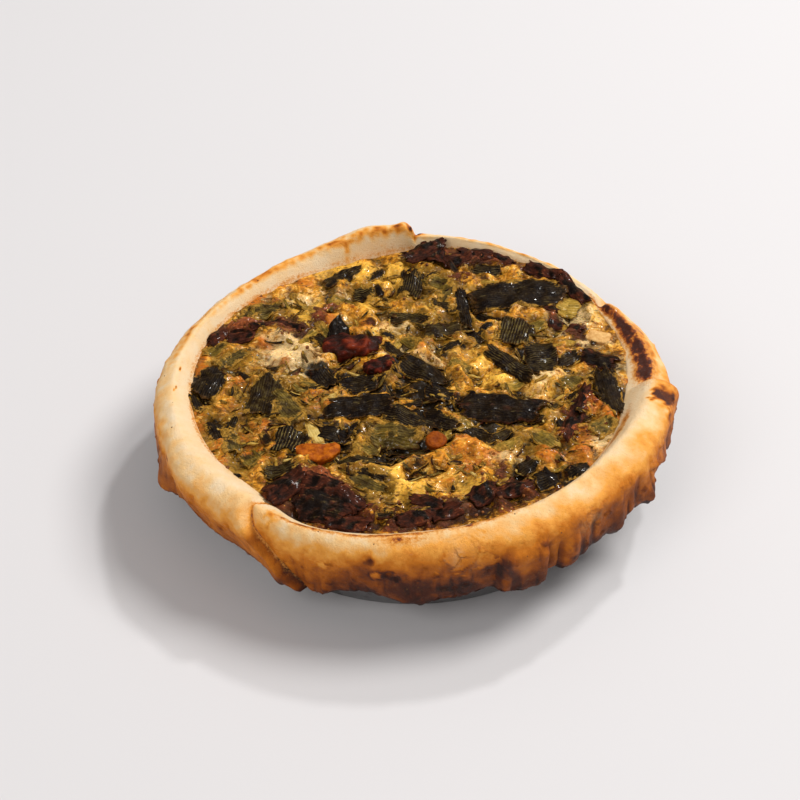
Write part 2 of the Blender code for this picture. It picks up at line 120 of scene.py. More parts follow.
# %% [markdown]
# Materials are graphs of nodes, and long graphs are hard to read as links.  Two small helpers turn them
# into sentences.  A Wire wraps one socket, so that 1 - mask or height * 3 makes the Math nodes.  A Finish
# is one material, and its add method makes any other node from its type, settings and inputs.

# %% Helpers for materials
class Wire:
    """An output socket that can be used in sums, products and powers."""

    def __init__(self, finish, socket):
        self.finish = finish
        self.socket = socket

    def _math(self, operation, first, second):
        return self.finish.add("ShaderNodeMath", {"operation": operation}, [first, second])

    def __add__(self, other):
        return self._math("ADD", self, other)

    def __sub__(self, other):
        return self._math("SUBTRACT", self, other)

    def __rsub__(self, other):
        return self._math("SUBTRACT", other, self)

    def __mul__(self, other):
        return self._math("MULTIPLY", self, other)

    def __pow__(self, other):
        return self._math("POWER", self, other)

    __radd__ = __add__
    __rmul__ = __mul__


class Finish:
    """A procedural material that is built node by node."""

    def __init__(self, name):
        self.material = bpy.data.materials.new(name)
        self.material.use_nodes = True
        self.tree = self.material.node_tree
        self.shader = self.tree.nodes["Principled BSDF"]

    def put(self, socket, value):
        """Links a wire to a socket, or sets the socket's own value."""
        if isinstance(value, Wire):
            self.tree.links.new(value.socket, socket)
        elif isinstance(value, tuple) and len(value) == 3 and socket.type == "RGBA":
            socket.default_value = (*value, 1.0)
        else:
            socket.default_value = value

    def add(self, kind, settings=None, inputs=None, output=0):
        """A node of any kind: settings are set first, then the inputs by name or place."""
        node = self.tree.nodes.new(kind)
        for name, value in (settings or {}).items():
            if name == "stops":
                ramp_elements = node.color_ramp.elements
                while len(ramp_elements) < len(value):
                    ramp_elements.new(1.0)
                for element, (place, colour) in zip(ramp_elements, value):
                    element.position = place
                    element.color = (*colour, 1.0)
            else:
                setattr(node, name, value)
        pairs = inputs.items() if isinstance(inputs, dict) else enumerate(inputs or [])
        for name, value in pairs:
            self.put(node.inputs[name], value)
        return Wire(self, node.outputs[output])

    def place(self):
        """Position on the object, in metres."""
        return self.add("ShaderNodeTexCoord", output="Object")

    def painted(self, name):
        """A number painted on the mesh's points."""
        return self.add("ShaderNodeAttribute", {"attribute_name": name}, output="Fac")

    def cloud(self, place, size, detail=2.0, roughness=0.5, swirl=0.0):
        """Soft noise from 0 to 1 whose lumps are about so many metres wide."""
        settings = {"noise_dimensions": "3D"}
        inputs = {"Vector": place, "Scale": 1.0 / size, "Detail": detail, "Roughness": roughness,
                  "Distortion": swirl}
        return self.add("ShaderNodeTexNoise", settings, inputs)

    def cells(self, place, size, feature="F1"):
        """Distance in a pattern of uneven cells about so many metres wide."""
        return self.add("ShaderNodeTexVoronoi", {"feature": feature}, {"Vector": place, "Scale": 1.0 / size})

    def between(self, value, low, high):
        """Rises from 0 to 1 as a value goes from low to high."""
        settings = {"interpolation_type": "SMOOTHSTEP"}
        return self.add("ShaderNodeMapRange", settings, [value, low, high, 0.0, 1.0])

    def blend(self, mask, first, second):
        """First colour where the mask is 0, second where it is 1."""
        inputs = {0: mask, 6: first, 7: second}
        return self.add("ShaderNodeMix", {"data_type": "RGBA"}, inputs, output=2)

    def shade(self, colour, strength):
        """The colour made darker or lighter."""
        return self.add("ShaderNodeVectorMath", {"operation": "SCALE"}, {0: colour, "Scale": strength})

    def ramp(self, value, stops):
        """Colour read from a ramp of stops."""
        return self.add("ShaderNodeValToRGB", {"stops": stops}, [value])

    def bump(self, height, depth):
        """Normal of a fine relief, its height from 0 to 1 and its depth in metres."""
        return self.add("ShaderNodeBump", {}, {"Height": height, "Distance": depth})

    def surface(self, **inputs):
        """Sets the shader's sockets, with underscores for the spaces in their names."""
        for name, value in inputs.items():
            self.put(self.shader.inputs[name.replace("_", " ")], value)
        return self.material


floor_finish = Finish("pale floor")
floor_mesh.materials.append(floor_finish.surface(Base_Color=(0.655, 0.640, 0.645), Roughness=0.75))
print("material helpers ready")

# %% [markdown]
# Food has no straight lines, but it does have rules.  The pastry case is a run of unlike sections round
# the tart, so its shape is a few curves read by angle: where the filling ends, how high and wide the
# crest is, and where the skirt hangs to.  Folds and laps are steps added to those curves.  The same
# stations shaped the solid case, and here they are read much more finely.

# %% Curves round the tart
TIN_BASE_RADIUS = 71.5
TIN_RIM_RADIUS = 81.0
TIN_HEIGHT = 33.0
TIN_WALL = 0.7
GAP = 0.35
FLOOR_THICKNESS = 4.0
FLOOR_RADIUS = 65.5
RIM_STATIONS = np.array((
    # angle, filling's radius and height, crest's radius and height, belly's radius, edge's radius and height
    (0, 74.5, 36.0, 84.0, 40.5, 90.5, 89.0, 22.0),
    (15, 77.5, 37.0, 84.0, 40.5, 89.5, 88.5, 21.0),
    (32, 78.5, 38.0, 82.5, 39.0, 87.0, 86.0, 20.0),
    (52, 78.5, 39.0, 81.5, 41.0, 86.0, 85.0, 19.0),
    (72, 78.0, 39.0, 81.0, 41.5, 85.5, 85.0, 19.0),
    (88, 76.5, 38.0, 79.5, 43.0, 85.5, 85.0, 19.0),
    (104, 74.0, 36.5, 79.0, 43.0, 85.5, 85.0, 19.0),
    (122, 73.5, 36.0, 79.5, 41.5, 84.5, 84.0, 19.0),
    (142, 75.5, 35.5, 80.5, 40.0, 85.0, 85.0, 18.0),
    (165, 77.2, 35.0, 82.5, 39.5, 88.0, 88.5, 18.0),
    (185, 76.5, 35.0, 83.5, 39.5, 90.0, 90.5, 18.0),
    (205, 75.2, 35.0, 83.5, 39.5, 89.0, 88.0, 17.0),
    (225, 73.0, 35.0, 81.5, 39.0, 86.5, 82.5, 17.0),
    (242, 76.0, 35.0, 82.0, 39.0, 86.5, 83.0, 14.5),
    (258, 73.5, 35.0, 81.0, 40.0, 86.5, 83.0, 16.5),
    (272, 71.5, 35.5, 79.5, 41.5, 87.0, 84.0, 14.5),
    (290, 71.5, 36.0, 78.5, 43.0, 87.5, 85.0, 18.0),
    (306, 71.5, 36.0, 78.5, 43.5, 88.0, 87.5, 20.0),
    (322, 72.0, 36.0, 78.5, 43.5, 88.0, 88.5, 23.0),
    (338, 72.5, 36.0, 80.0, 43.0, 87.5, 87.0, 23.0),
    (350, 73.0, 36.0, 82.5, 42.0, 88.5, 87.0, 22.0),
))


def wrapped(angle):
    """Angle difference brought into -180 to 180."""
    return (angle + 180.0) % 360.0 - 180.0


def hump(angle, centre, width):
    """Smooth bump of height 1 round one angle."""
    return np.exp(-(wrapped(angle - centre) / width) ** 2)


def ramp(value, start, end):
    """Smooth rise from 0 at start to 1 at end."""
    share = np.clip((value - start) / (end - start), 0.0, 1.0)
    return share * share * (3.0 - 2.0 * share)


def around(column, angle):
    """Smooth closed curve through one column of the rim stations."""
    rows = RIM_STATIONS
    knots = np.concatenate([rows[-2:, 0] - 360.0, rows[:, 0], rows[:2, 0] + 360.0])
    values = np.concatenate([rows[-2:, column], rows[:, column], rows[:2, column]])
    slopes = (values[2:] - values[:-2]) / (knots[2:] - knots[:-2])
    angle = np.asarray(angle) % 360.0
    index = np.searchsorted(knots, angle, side="right") - 1
    span = knots[index + 1] - knots[index]
    t = (angle - knots[index]) / span
    start = (1 + 2 * t) * (1 - t) ** 2 * values[index] + t * (1 - t) ** 2 * span * slopes[index - 1]
    end = t * t * (3 - 2 * t) * values[index + 1] + t * t * (t - 1) * span * slopes[index]
    return start + end


def clouds(points, size, seed=0.0):
    """Soft noise from -1 to 1 at each point, with lumps about so many millimetres wide."""
    flat = points.reshape(-1, 3) / size + seed
    return np.array([noise.noise(p) for p in flat.tolist()]).reshape(points.shape[:-1])


def tin_radius(height):
    """Outer radius of the tin's straight wall at a height."""
    return TIN_BASE_RADIUS + (TIN_RIM_RADIUS - TIN_BASE_RADIUS) * height / TIN_HEIGHT


def piece_from(name, vertices, faces, finish, paint=None):
    """A smooth mesh piece from millimetres, with numbers painted on its points."""
    mesh = bpy.data.meshes.new(name)
    mesh.from_pydata((np.asarray(vertices) * MM).tolist(), [], faces)
    mesh.validate()
    for label, values in (paint or {}).items():
        layer = mesh.attributes.new(label, "FLOAT", "POINT")
        layer.data.foreach_set("value", np.asarray(values, dtype=np.float32).ravel())
    mesh.shade_smooth()
    mesh.materials.append(finish)
    piece = bpy.data.objects.new(name, mesh)
    scene.collection.objects.link(piece)
    return piece


def turned_outwards(piece):
    """Makes the faces of a closed piece point outwards."""
    shape = bmesh.new()
    shape.from_mesh(piece.data)
    bmesh.ops.recalc_face_normals(shape, faces=shape.faces)
    shape.to_mesh(piece.data)
    shape.free()
    return piece


def triangles(piece):
    """Number of triangles that a piece has."""
    return sum(len(face.vertices) - 2 for face in piece.data.polygons)


sample = np.linspace(0.0, 360.0, 721)
print("crest height in mm:", around(4, sample).min().round(1), "to", around(4, sample).max().round(1))

# %% [markdown]
# The pastry was rolled out as a round that is larger than the tin, so at the rim there is too much of it.
# The baker let it fall over the edge in laps: at the left front one piece lies over the next, at the
# right the front piece lies over the thin back one, a flap stands up at the back, and small pleats gather
# at the front.  Each fold is a range of angles with a soft or a sharp end.  A lapped edge gets a rolled
# lip on top and a crease beside it, which is what makes it read as a layer and not as a bump.

# %% Folds of the pastry
FOLD_HEIGHT = 30.0
FOLDS = {
    "left piece over the front": dict(start=(214, 14), end=(235, 0.8), lean=-0.6, out=2.8, up=0.8, top=60),
    "front piece over the right": dict(start=(334, 18), end=(358, 0.8), lean=0.0, out=2.2, up=1.8, top=60),
    "flap at the back": dict(start=(86, 0.9), end=(116, 22), lean=0.3, out=0.8, up=3.6, top=60),
    "tab at the front": dict(start=(289, 0.8), end=(300, 0.9), lean=0.0, out=2.1, up=0.0, top=37),
    "pleat beside the tab": dict(start=(304, 1.0), end=(314, 6.0), lean=0.0, out=1.3, up=0.0, top=36),
    "crease on the right": dict(start=(338, 1.0), end=(346, 6.0), lean=-1.0, out=1.2, up=0.0, top=38),
}

# Places where the hanging edge reaches out or down: angle, width, outward, downward.
EDGE_TIPS = {
    "ear at the left": (199, 3.4, 3.0, 2.5),
    "lap tip": (239, 2.6, 1.0, 2.0),
    "low front": (248, 5.0, 1.5, 2.5),
    "low middle": (270, 5.0, 0.5, 1.5),
    "tab foot": (295, 4.0, 1.2, 2.0),
    "burnt tip": (320, 2.2, 1.0, 2.0),
    "burnt corner": (332, 2.6, 3.0, 2.0),
    "right corner": (352, 3.0, 1.5, 1.5),
}
LIP_HEIGHT = 0.6
LIP_WIDTH = 1.6
CREASE_DEPTH = 0.9
CREASE_WIDTH = 0.8


def fold_turn(fold, angle, height):
    """Angle from a fold's start, with its lean taken out."""
    return wrapped(angle - fold["lean"] * (height - FOLD_HEIGHT) - fold["start"][0])


def fold_share(fold, angle, height):
    """How far a fold is raised at an angle and height, from 0 to 1."""
    turned = fold_turn(fold, angle, height)
    length = fold["end"][0] - fold["start"][0]
    rise = ramp(turned, -fold["start"][1], 0.0)
    fall = 1.0 - ramp(turned, length - fold["end"][1], length)
    return rise * fall * (1.0 - ramp(height, fold["top"] - 5.0, fold["top"]))


def lap_edge(fold, angle, height):
    """Rolled lip (above 0) and crease (below 0) along the sharp ends of a fold, and the crease's shade."""
    turned = fold_turn(fold, angle, height)
    length = fold["end"][0] - fold["start"][0]
    relief = 0.0
    shade = 0.0
    for distance, softness in ((-turned, fold["start"][1]), (turned - length, fold["end"][1])):
        if softness < 2.0:
            relief = relief + LIP_HEIGHT * np.exp(-((distance + LIP_WIDTH) / LIP_WIDTH) ** 2)
            crease = np.exp(-((distance - 0.5 * CREASE_WIDTH) / CREASE_WIDTH) ** 2)
            relief = relief - CREASE_DEPTH * crease
            shade = shade + crease
    fade = 1.0 - ramp(height, fold["top"] - 5.0, fold["top"])
    return relief * fade, shade * fade


print("folds:", len(FOLDS), "edge tips:", len(EDGE_TIPS))

# %% [markdown]
# One section of the case runs from the filling's edge up over the crest, down the outside to the hanging
# edge, back up behind the skirt, over the tin's rim and down its inside to the floor.  The outer run is a
# smooth curve through eight points.  All the sections are worked out at once as arrays, one row for each
# angle, so even 108 000 triangles are quick to make.

# %% Sections of the case
SECTION_COUNT = 760
STEPS_PER_SPAN = 9
SKIRT_THICKNESS = 4.6
RELIEF_HEIGHT = 0.45
RELIEF_SCALE = 11.0


def outer_run(angles):
    """Radius and height along the case's outer run, one row for each angle."""
    fill_r, fill_z, crest_r, crest_z, belly_r, edge_r, edge_z = (around(i, angles) for i in range(1, 8))
    for tip_angle, width, outward, downward in EDGE_TIPS.values():
        share = hump(angles, tip_angle, width)
        edge_r = edge_r + outward * share
        edge_z = edge_z - downward * share
    crest_z = crest_z + sum(f["up"] * fold_share(f, angles, crest_z) for f in FOLDS.values())
    middle_z = 0.5 * (crest_z + edge_z)
    points = np.array([
        (fill_r + GAP, fill_z),
        (fill_r + 0.55 * (crest_r - fill_r), fill_z + 0.68 * (crest_z - fill_z)),
        (crest_r, crest_z),
        (crest_r + 0.72 * (belly_r - crest_r), crest_z - 2.8),
        (belly_r, 0.5 * (middle_z + crest_z - 2.0)),
        (belly_r + 0.3 * (edge_r - belly_r), middle_z - 1.0),
        (edge_r, edge_z + 3.0),
        (edge_r - 1.4, edge_z),
    ]).transpose(2, 0, 1)
    before_first = 2 * points[:, :1] - points[:, 1:2]
    after_last = 2 * points[:, -1:] - points[:, -2:-1]
    padded = np.concatenate([before_first, points, after_last], 1)
    run = []
    for k in range(points.shape[1] - 1):
        before, start, end, after = (padded[:, k + j] for j in range(4))
        for step in range(STEPS_PER_SPAN):
            t = step / STEPS_PER_SPAN
            run.append(0.5 * (2 * start + (end - before) * t
                              + (2 * before - 5 * start + 4 * end - after) * t * t
                              + (3 * start - before - 3 * end + after) * t ** 3))
    run.append(points[:, -1])
    return np.stack(run, 1)


def in_space(run, angles):
    """Points in space from rows of radius and height."""
    c = np.cos(np.radians(angles))[:, None]
    s = np.sin(np.radians(angles))[:, None]
    return np.stack([run[..., 0] * c, run[..., 0] * s, run[..., 1]], -1)


crust_angles = np.arange(SECTION_COUNT) * 360.0 / SECTION_COUNT
crust_run = outer_run(crust_angles)
run_share = np.linspace(0.0, 1.0, crust_run.shape[1])[None, :]
turn = crust_angles[:, None]
print("outer run:", crust_run.shape[0], "sections of", crust_run.shape[1], "points")

# %% [markdown]
# Baked pastry is never smooth.  It swells in low waves, it blisters where air was trapped, it has small
# pits where blisters burst, and dragged wrinkles where it hung down.  Each kind of unevenness is added to
# the run as its own soft noise, moved outwards across the surface.  Near the filling the case stays calm,
# so that the two pieces still meet.

# %% Relief of the case
crust_points = in_space(crust_run, crust_angles)
height = crust_run[..., 1]
fold_out = sum(f["out"] * fold_share(f, turn, height) for f in FOLDS.values())
lips = [lap_edge(f, turn, height) for f in FOLDS.values()]
lip_relief = sum(relief for relief, shade in lips)
crease_shade = np.clip(sum(shade for relief, shade in lips), 0.0, 1.0)

waves = RELIEF_HEIGHT * clouds(crust_points, RELIEF_SCALE)
ripples = 0.28 * clouds(crust_points, 4.2, 11.3) + 0.13 * clouds(crust_points, 1.9, 5.1)
pull = clouds(crust_points * np.array([1.0, 1.0, 0.12]), 4.2, 7.7)
pull_share = ramp(run_share, 0.42, 0.80) * (0.35 + 0.65 * hump(turn, 316, 32))
pull_lines = (1.0 - ramp(np.abs(pull), 0.0, 0.15)) * pull_share
drags = 0.8 * pull * pull_share - 0.5 * pull_lines
blisters = 0.55 * ramp(clouds(crust_points, 3.1, 23.0), 0.42, 0.62) * ramp(run_share, 0.3, 0.6)
pits = -0.6 * ramp(clouds(crust_points, 2.3, 41.0), 0.55, 0.66) * ramp(run_share, 0.35, 0.6)


# Blisters that burst: angle, share of the run, radius in mm, how brown inside, how deep in mm, how clear.
BURST_BLISTERS = (
    (280.4, 0.48, 6.4, 0.30, 0.30, 0.45), (285.5, 0.60, 3.6, 0.34, 0.25, 0.40),
    (312.0, 0.60, 2.8, 0.38, 0.22, 0.35), (195.0, 0.72, 3.6, 0.34, 0.25, 0.40),
    (261.9, 0.667, 1.9, 0.34, -0.15, 0.60), (250.0, 0.62, 1.4, 0.34, -0.12, 0.40),
    (261.0, 0.508, 1.0, 0.86, 0.6, 1.0), (265.0, 0.655, 1.4, 0.80, 0.7, 1.0),
    (266.4, 0.685, 1.1, 0.92, 0.8, 1.0), (276.6, 0.775, 1.1, 0.92, 0.7, 1.0),
    (279.0, 0.790, 1.3, 0.86, 0.7, 1.0), (281.6, 0.780, 0.9, 0.92, 0.7, 1.0),
    (351.6, 0.370, 2.6, 0.90, 0.4, 1.0), (352.4, 0.420, 2.2, 0.86, 0.4, 1.0),
    (205.0, 0.720, 1.0, 0.80, 0.5, 1.0),
)
torn_edge = 1.0 + 0.5 * clouds(crust_points, 1.4, 53.0) + 0.45 * clouds(crust_points, 4.2, 57.0)
opened = np.zeros(crust_run.shape[:2])
skin_edge = np.zeros(crust_run.shape[:2])
opened_bake = np.zeros(crust_run.shape[:2])
hollows = np.zeros(crust_run.shape[:2])
for angle, share, radius, brown, depth, clear in BURST_BLISTERS:
    row = round(angle / 360.0 * SECTION_COUNT) % SECTION_COUNT
    step = round(share * (crust_run.shape[1] - 1))
    reach = np.linalg.norm(crust_points - crust_points[row, step], axis=-1) * torn_edge
    inside = 1.0 - ramp(reach, radius - 0.5, radius + 0.3)
    opened_bake = opened_bake * (1.0 - inside * clear) + brown * inside * clear
    opened = opened * (1.0 - inside * clear) + inside * clear
    skin_edge = np.maximum(skin_edge, clear * np.exp(-((reach - radius - 0.2) / 0.55) ** 2))
    hollows = hollows - depth * inside

sideways = fold_out + waves + (lip_relief + ripples + drags + blisters + pits) * ramp(run_share, 0.1, 0.3)
sideways = sideways + hollows + 0.22 * skin_edge
sideways = sideways * ramp(run_share, 0.18, 0.45)
upwards = (waves + ripples + lip_relief) * ramp(run_share, 0.02, 0.2) * (1.0 - ramp(run_share, 0.3, 0.6))
# A break in the crest at the back right, its two lips a little raised.
break_turn, break_width, break_depth = 33.0, 1.6, 4.5
crest_part = ramp(run_share, 0.06, 0.16) * (1.0 - ramp(run_share, 0.36, 0.52))
opening = break_depth * hump(turn, break_turn, break_width) - 1.6 * hump(turn, break_turn - 5.5, 3.2)
upwards = upwards - opening * crest_part
ragged_edge = (0.9 * clouds(crust_points, 2.6, 3.3) + 0.5 * clouds(crust_points, 1.1, 9.9))
upwards = upwards + ragged_edge * ramp(run_share, 0.86, 1.0)

crust_run = crust_run + np.stack([sideways, upwards], -1)
print("relief in mm:", round(float(sideways.min()), 2), "to", round(float(sideways.max()), 2))

# %% [markdown]
# The hidden side follows the tin: behind the skirt, over the rim and down inside.  Those few points are
# the same as in the solid case.  The loft closes in the middle of the floor, so the case is one closed
# skin, as the real one is one sheet of pastry.

# %% The case's mesh
edge = crust_run[:, -1]
edge_z = edge[:, 1] + 1.0
middle_z = 0.5 * (edge_z + TIN_HEIGHT)
across = np.ones(SECTION_COUNT)
inner_run = np.stack([
    np.stack([np.maximum(tin_radius(edge_z) + GAP, edge[:, 0] - SKIRT_THICKNESS + 1.4), edge_z], -1),
    np.stack([np.maximum(tin_radius(middle_z) + GAP, edge[:, 0] - SKIRT_THICKNESS), middle_z], -1),
    np.stack([(tin_radius(TIN_HEIGHT) + GAP + 0.4) * across, (TIN_HEIGHT - 1.0) * across], -1),
    np.stack([(TIN_RIM_RADIUS + GAP) * across, (TIN_HEIGHT + GAP) * across], -1),
    np.stack([(TIN_RIM_RADIUS - TIN_WALL - GAP) * across, (TIN_HEIGHT + GAP) * across], -1),
    np.stack([(TIN_BASE_RADIUS - 2.5) * across, (TIN_WALL + GAP) * across], -1),
], 1)
floor_run = np.stack([FLOOR_RADIUS * across, (TIN_WALL + GAP + FLOOR_THICKNESS) * across], -1)[:, None]
whole_run = np.concatenate([floor_run, crust_run, inner_run], 1)
ring = whole_run.shape[1]
crust_vertices = in_space(whole_run, crust_angles).reshape(-1, 3)
crust_faces = []
for i in range(SECTION_COUNT):
    here = i * ring
    there = (i + 1) % SECTION_COUNT * ring
    crust_faces += [(here + k, there + k, there + k + 1, here + k + 1) for k in range(ring - 1)]
crust_faces.append([i * ring for i in range(SECTION_COUNT)])
crust_faces.append([i * ring + ring - 1 for i in range(SECTION_COUNT)])
print("case:", len(crust_vertices), "points")

# %% [markdown]
# Browning has its own geography.  Inside, the crust is pale cream, because the filling kept it moist.
# It turns golden over the crest, and brown towards the hanging edge, most of all at the front and the
# right, where the oven was hottest.  Thin tips burn first.  One number, bake, runs from 0 for
# pale to 1 for charred, and is painted on each point; besides the browning it carries painted shade in
# the creases beside lapped edges, in the dragged wrinkles and in a few dark lines by folds.  A second one,
# juice, marks what the filling left on the case, and a third, flaky, the places where its skin broke into
# flakes.

# %% Browning of the case
# Fronts of strong heat: angle, width, how much browner the outside is there.
HOT_SIDES = (
    (274, 38, 0.39), (322, 18, 0.22), (356, 14, 0.22), (190, 36, 0.15), (108, 26, 0.14),
    (20, 24, 0.14), (70, 20, 0.06),
)
# Burnt places on the case, and a few dark lines of painted shade beside folds and wrinkles: angle, share of
# the run, width in degrees, width of the share, strength.
BURNT_AND_SHADED_PLACES = (
    (353, 0.46, 6.5, 0.16, 0.62), (354, 0.34, 4.5, 0.08, 0.50), (348, 0.52, 3.0, 0.10, 0.62),
    (0, 0.62, 3.0, 0.12, 0.5), (199, 0.99, 4.0, 0.06, 0.5), (88, 0.34, 1.6, 0.08, 1.0),
    (97, 0.27, 9.0, 0.05, 0.60), (112, 0.27, 7.0, 0.05, 0.56), (108.5, 0.20, 0.8, 0.22, 0.50),
    (90, 0.28, 2.0, 0.14, 0.80), (101, 0.23, 15.0, 0.085, 0.52), (132, 0.29, 24.0, 0.05, 0.44),
    (132, 0.235, 24.0, 0.07, 0.42), (62, 0.29, 20.0, 0.05, 0.40), (14, 0.32, 15.0, 0.06, 0.58),
    (160, 0.34, 16.0, 0.06, 0.40), (62, 0.24, 14.0, 0.06, 0.34), (176, 0.20, 0.6, 0.014, 1.1),
    (183, 0.22, 0.5, 0.012, 1.0), (184, 0.25, 0.5, 0.012, 1.0), (203, 0.55, 1.2, 0.04, 0.75),
    (236, 0.30, 2.0, 0.20, 0.42), (297, 0.95, 5.0, 0.08, 0.50), (320, 0.97, 5.0, 0.12, 0.75),
    (332, 0.94, 6.0, 0.13, 0.80), (342, 0.93, 5.0, 0.10, 0.60), (328, 0.79, 2.2, 0.09, 0.72),
    (306, 0.80, 2.4, 0.15, 0.62), (289, 0.64, 0.7, 0.18, 0.38), (312, 0.92, 5.0, 0.10, 0.60),
    (240, 0.93, 3.0, 0.08, 0.35), (192, 0.80, 1.0, 0.03, 0.45),
)
# Juice baked onto the case: angle, share of the run, width in degrees, width of the share, strength.
JUICE_PLACES = (
    (20, 0.17, 10.5, 0.125, 1.12), (11, 0.185, 6.0, 0.12, 1.15), (4, 0.20, 6.0, 0.115, 1.15),
    (30, 0.13, 6.0, 0.10, 1.05), (338, 0.08, 9.0, 0.05, 0.6), (285, 0.232, 13.0, 0.055, 0.60),
    (264, 0.232, 20.0, 0.058, 0.62), (243, 0.222, 9.0, 0.055, 0.58), (267.5, 0.305, 4.6, 0.050, 0.66),
    (150, 0.02, 60.0, 0.035, 0.30), (80, 0.02, 40.0, 0.035, 0.24), (196, 0.02, 20.0, 0.03, 0.35),
)


def patches(places):
    """Strength of the strongest named patch at each point of the outer run."""
    total = np.zeros(crust_run.shape[:2])
    for angle, share, wide, long, strength in places:
        patch = hump(turn, angle, wide) * np.exp(-((run_share - share) / long) ** 2)
        total = np.maximum(total, strength * patch)
    return total


mottle = 0.16 * clouds(crust_points, 9.0, 2.2) + 0.10 * clouds(crust_points, 3.5, 8.8)
speckle = 0.06 * clouds(crust_points, 1.3, 6.1)
heat = sum(extra * hump(turn, angle, width) for angle, width, extra in HOT_SIDES)
bake = 0.07 + 0.42 * ramp(run_share, 0.26, 0.92) + heat * ramp(run_share, 0.10, 0.70)
bake = bake + 0.10 * ramp(run_share, 0.9, 1.0) + (mottle + speckle) * ramp(run_share, 0.12, 0.4)
# Painted shade: the creases beside lapped edges are darkened, most of all at the left front lap.
bake = bake + (0.16 + 0.55 * hump(turn, 240, 8)) * crease_shade ** 4 * ramp(run_share, 0.2, 0.4)
# Raised blisters brown a little more, and painted shade darkens the valleys of the dragged wrinkles.
bake = bake + 0.12 * ramp(blisters, 0.2, 0.5) + 0.20 * pull_lines
ragged = 0.78 + 0.9 * clouds(crust_points, 2.0, 17.0)
bake = np.maximum(bake, patches(BURNT_AND_SHADED_PLACES) * ragged + 0.4 * bake)
bake = np.clip(bake * (1.0 - opened) + opened_bake + 0.26 * skin_edge * (1.0 - opened), 0.0, 1.0)
juice_noise = 0.92 + 0.45 * clouds(crust_points, 4.0, 31.0) + 0.45 * clouds(crust_points, 1.3, 36.0)
juice = patches(JUICE_PLACES) * juice_noise
juice = np.clip(np.maximum(juice, 0.60 * hump(turn, 233, 9) * crease_shade ** 3), 0.0, 1.0)

# Places where a thin blister broke into flakes.
FLAKY_PLACES = (
    (280, 0.50, 4.0, 0.13, 0.9), (195, 0.72, 5.0, 0.10, 0.7), (312, 0.60, 4.0, 0.10, 0.6),
)
flaky = np.clip(patches(FLAKY_PLACES) * (0.8 + 0.8 * clouds(crust_points, 3.2, 71.0)), 0.0, 1.0)


def on_whole_run(values):
    """Numbers of the outer run set into the whole section, the hidden side left plain."""
    whole = np.zeros(whole_run.shape[:2])
    whole[:, 1:1 + values.shape[1]] = values
    whole[:, 1 + values.shape[1]:-4] = values[:, -1:]
    return whole


print("bake runs from", round(float(bake.min()), 2), "to", round(float(bake.max()), 2))

# %% [markdown]
# The finish reads those three numbers.  A ramp turns bake into the colours of pastry, from cream
# over gold and chestnut to char, so the painted shade of the creases and wrinkles shows as darker brown.
# Juice lies over it from orange to almost black, and flakes show as a paler skin with fine dark cracks.
# Noise breaks the colour into freckles, and a fine crumb relief keeps the light from sliding over it like
# plastic.

# %% Pastry finish
pastry = Finish("baked pastry")
place = pastry.place()
# Browning, with the painted shade of creases and wrinkles in it.
baked = pastry.painted("bake")
freckles = pastry.cloud(place, 0.9 * MM, 3.0, 0.6)
crumb = pastry.cloud(place, 0.45 * MM, 4.0, 0.7)
stains = pastry.cloud(place, 7.0 * MM, 5.0, 0.6, 0.4)
uneven = baked + (freckles - 0.5) * 0.12 * pastry.between(baked, 0.05, 0.4) + (stains - 0.5) * 0.24
pastry_colour = pastry.ramp(uneven, [
    (0.0, (0.85, 0.68, 0.46)),
    (0.15, (0.87, 0.56, 0.25)),
    (0.32, (0.85, 0.365, 0.058)),
    (0.50, (0.60, 0.180, 0.011)),
    (0.68, (0.30, 0.072, 0.005)),
    (0.86, (0.085, 0.021, 0.009)),
    (1.0, (0.030, 0.011, 0.008)),
])
juice_soft = pastry.painted("juice") + (stains - 0.5) * 0.12 + (freckles - 0.5) * 0.6 + (crumb - 0.5) * 0.3
juice_mask = pastry.between(juice_soft, 0.06, 0.42)
juice_colour = pastry.ramp(pastry.between(juice_soft, 0.36, 0.86), [
    (0.0, (0.70, 0.27, 0.035)),
    (0.35, (0.36, 0.080, 0.012)),
    (0.75, (0.110, 0.024, 0.008)),
    (1.0, (0.058, 0.013, 0.006)),
])
pastry_colour = pastry.blend(juice_mask, pastry_colour, juice_colour)
flakes = pastry.painted("flaky") * pastry.between(baked, 0.1, 0.3)
FLAKE_BEND = 3.0 * MM
flake_bends = pastry.add("ShaderNodeTexNoise", {}, {"Vector": place, "Scale": 1.0 / FLAKE_BEND}, output=1)
flake_shift = pastry.shade(flake_bends, FLAKE_BEND)
bent_place = pastry.add("ShaderNodeVectorMath", {"operation": "ADD"}, [place, flake_shift])
flake_cells = pastry.cells(bent_place, 6.5 * MM, "DISTANCE_TO_EDGE")
flake_lines = (1.0 - pastry.between(flake_cells, 0.0, 0.10)) * flakes
pale_skin = flakes * pastry.between(stains + (freckles - 0.5) * 0.4, 0.42, 0.62) * 0.45
pastry_colour = pastry.blend(pale_skin, pastry_colour, (0.88, 0.54, 0.24))
pastry_colour = pastry.blend(flake_lines * 0.5, pastry_colour, (0.34, 0.095, 0.015))
pits_fine = pastry.between(pastry.cells(place, 1.6 * MM), 0.0, 0.35)
rough_relief = pastry.bump(crumb * 0.6 + pits_fine * 0.25 + freckles * 0.4 - flake_lines * 1.2, 0.42 * MM)
pastry.surface(
    Base_Color=pastry_colour,
    Roughness=0.42 + crumb * 0.25 - juice_mask * 0.15,
    Normal=rough_relief,
    Coat_Weight=juice_mask * pastry.between(freckles + (stains - 0.5) * 0.5, 0.50, 0.60) * 0.7,
    Coat_Roughness=0.12,
    Specular_IOR_Level=0.16,
)
crust = piece_from("baked_crust", crust_vertices, crust_faces, pastry.material,
                   {"bake": on_whole_run(bake), "juice": on_whole_run(juice), "flaky": on_whole_run(flaky)})
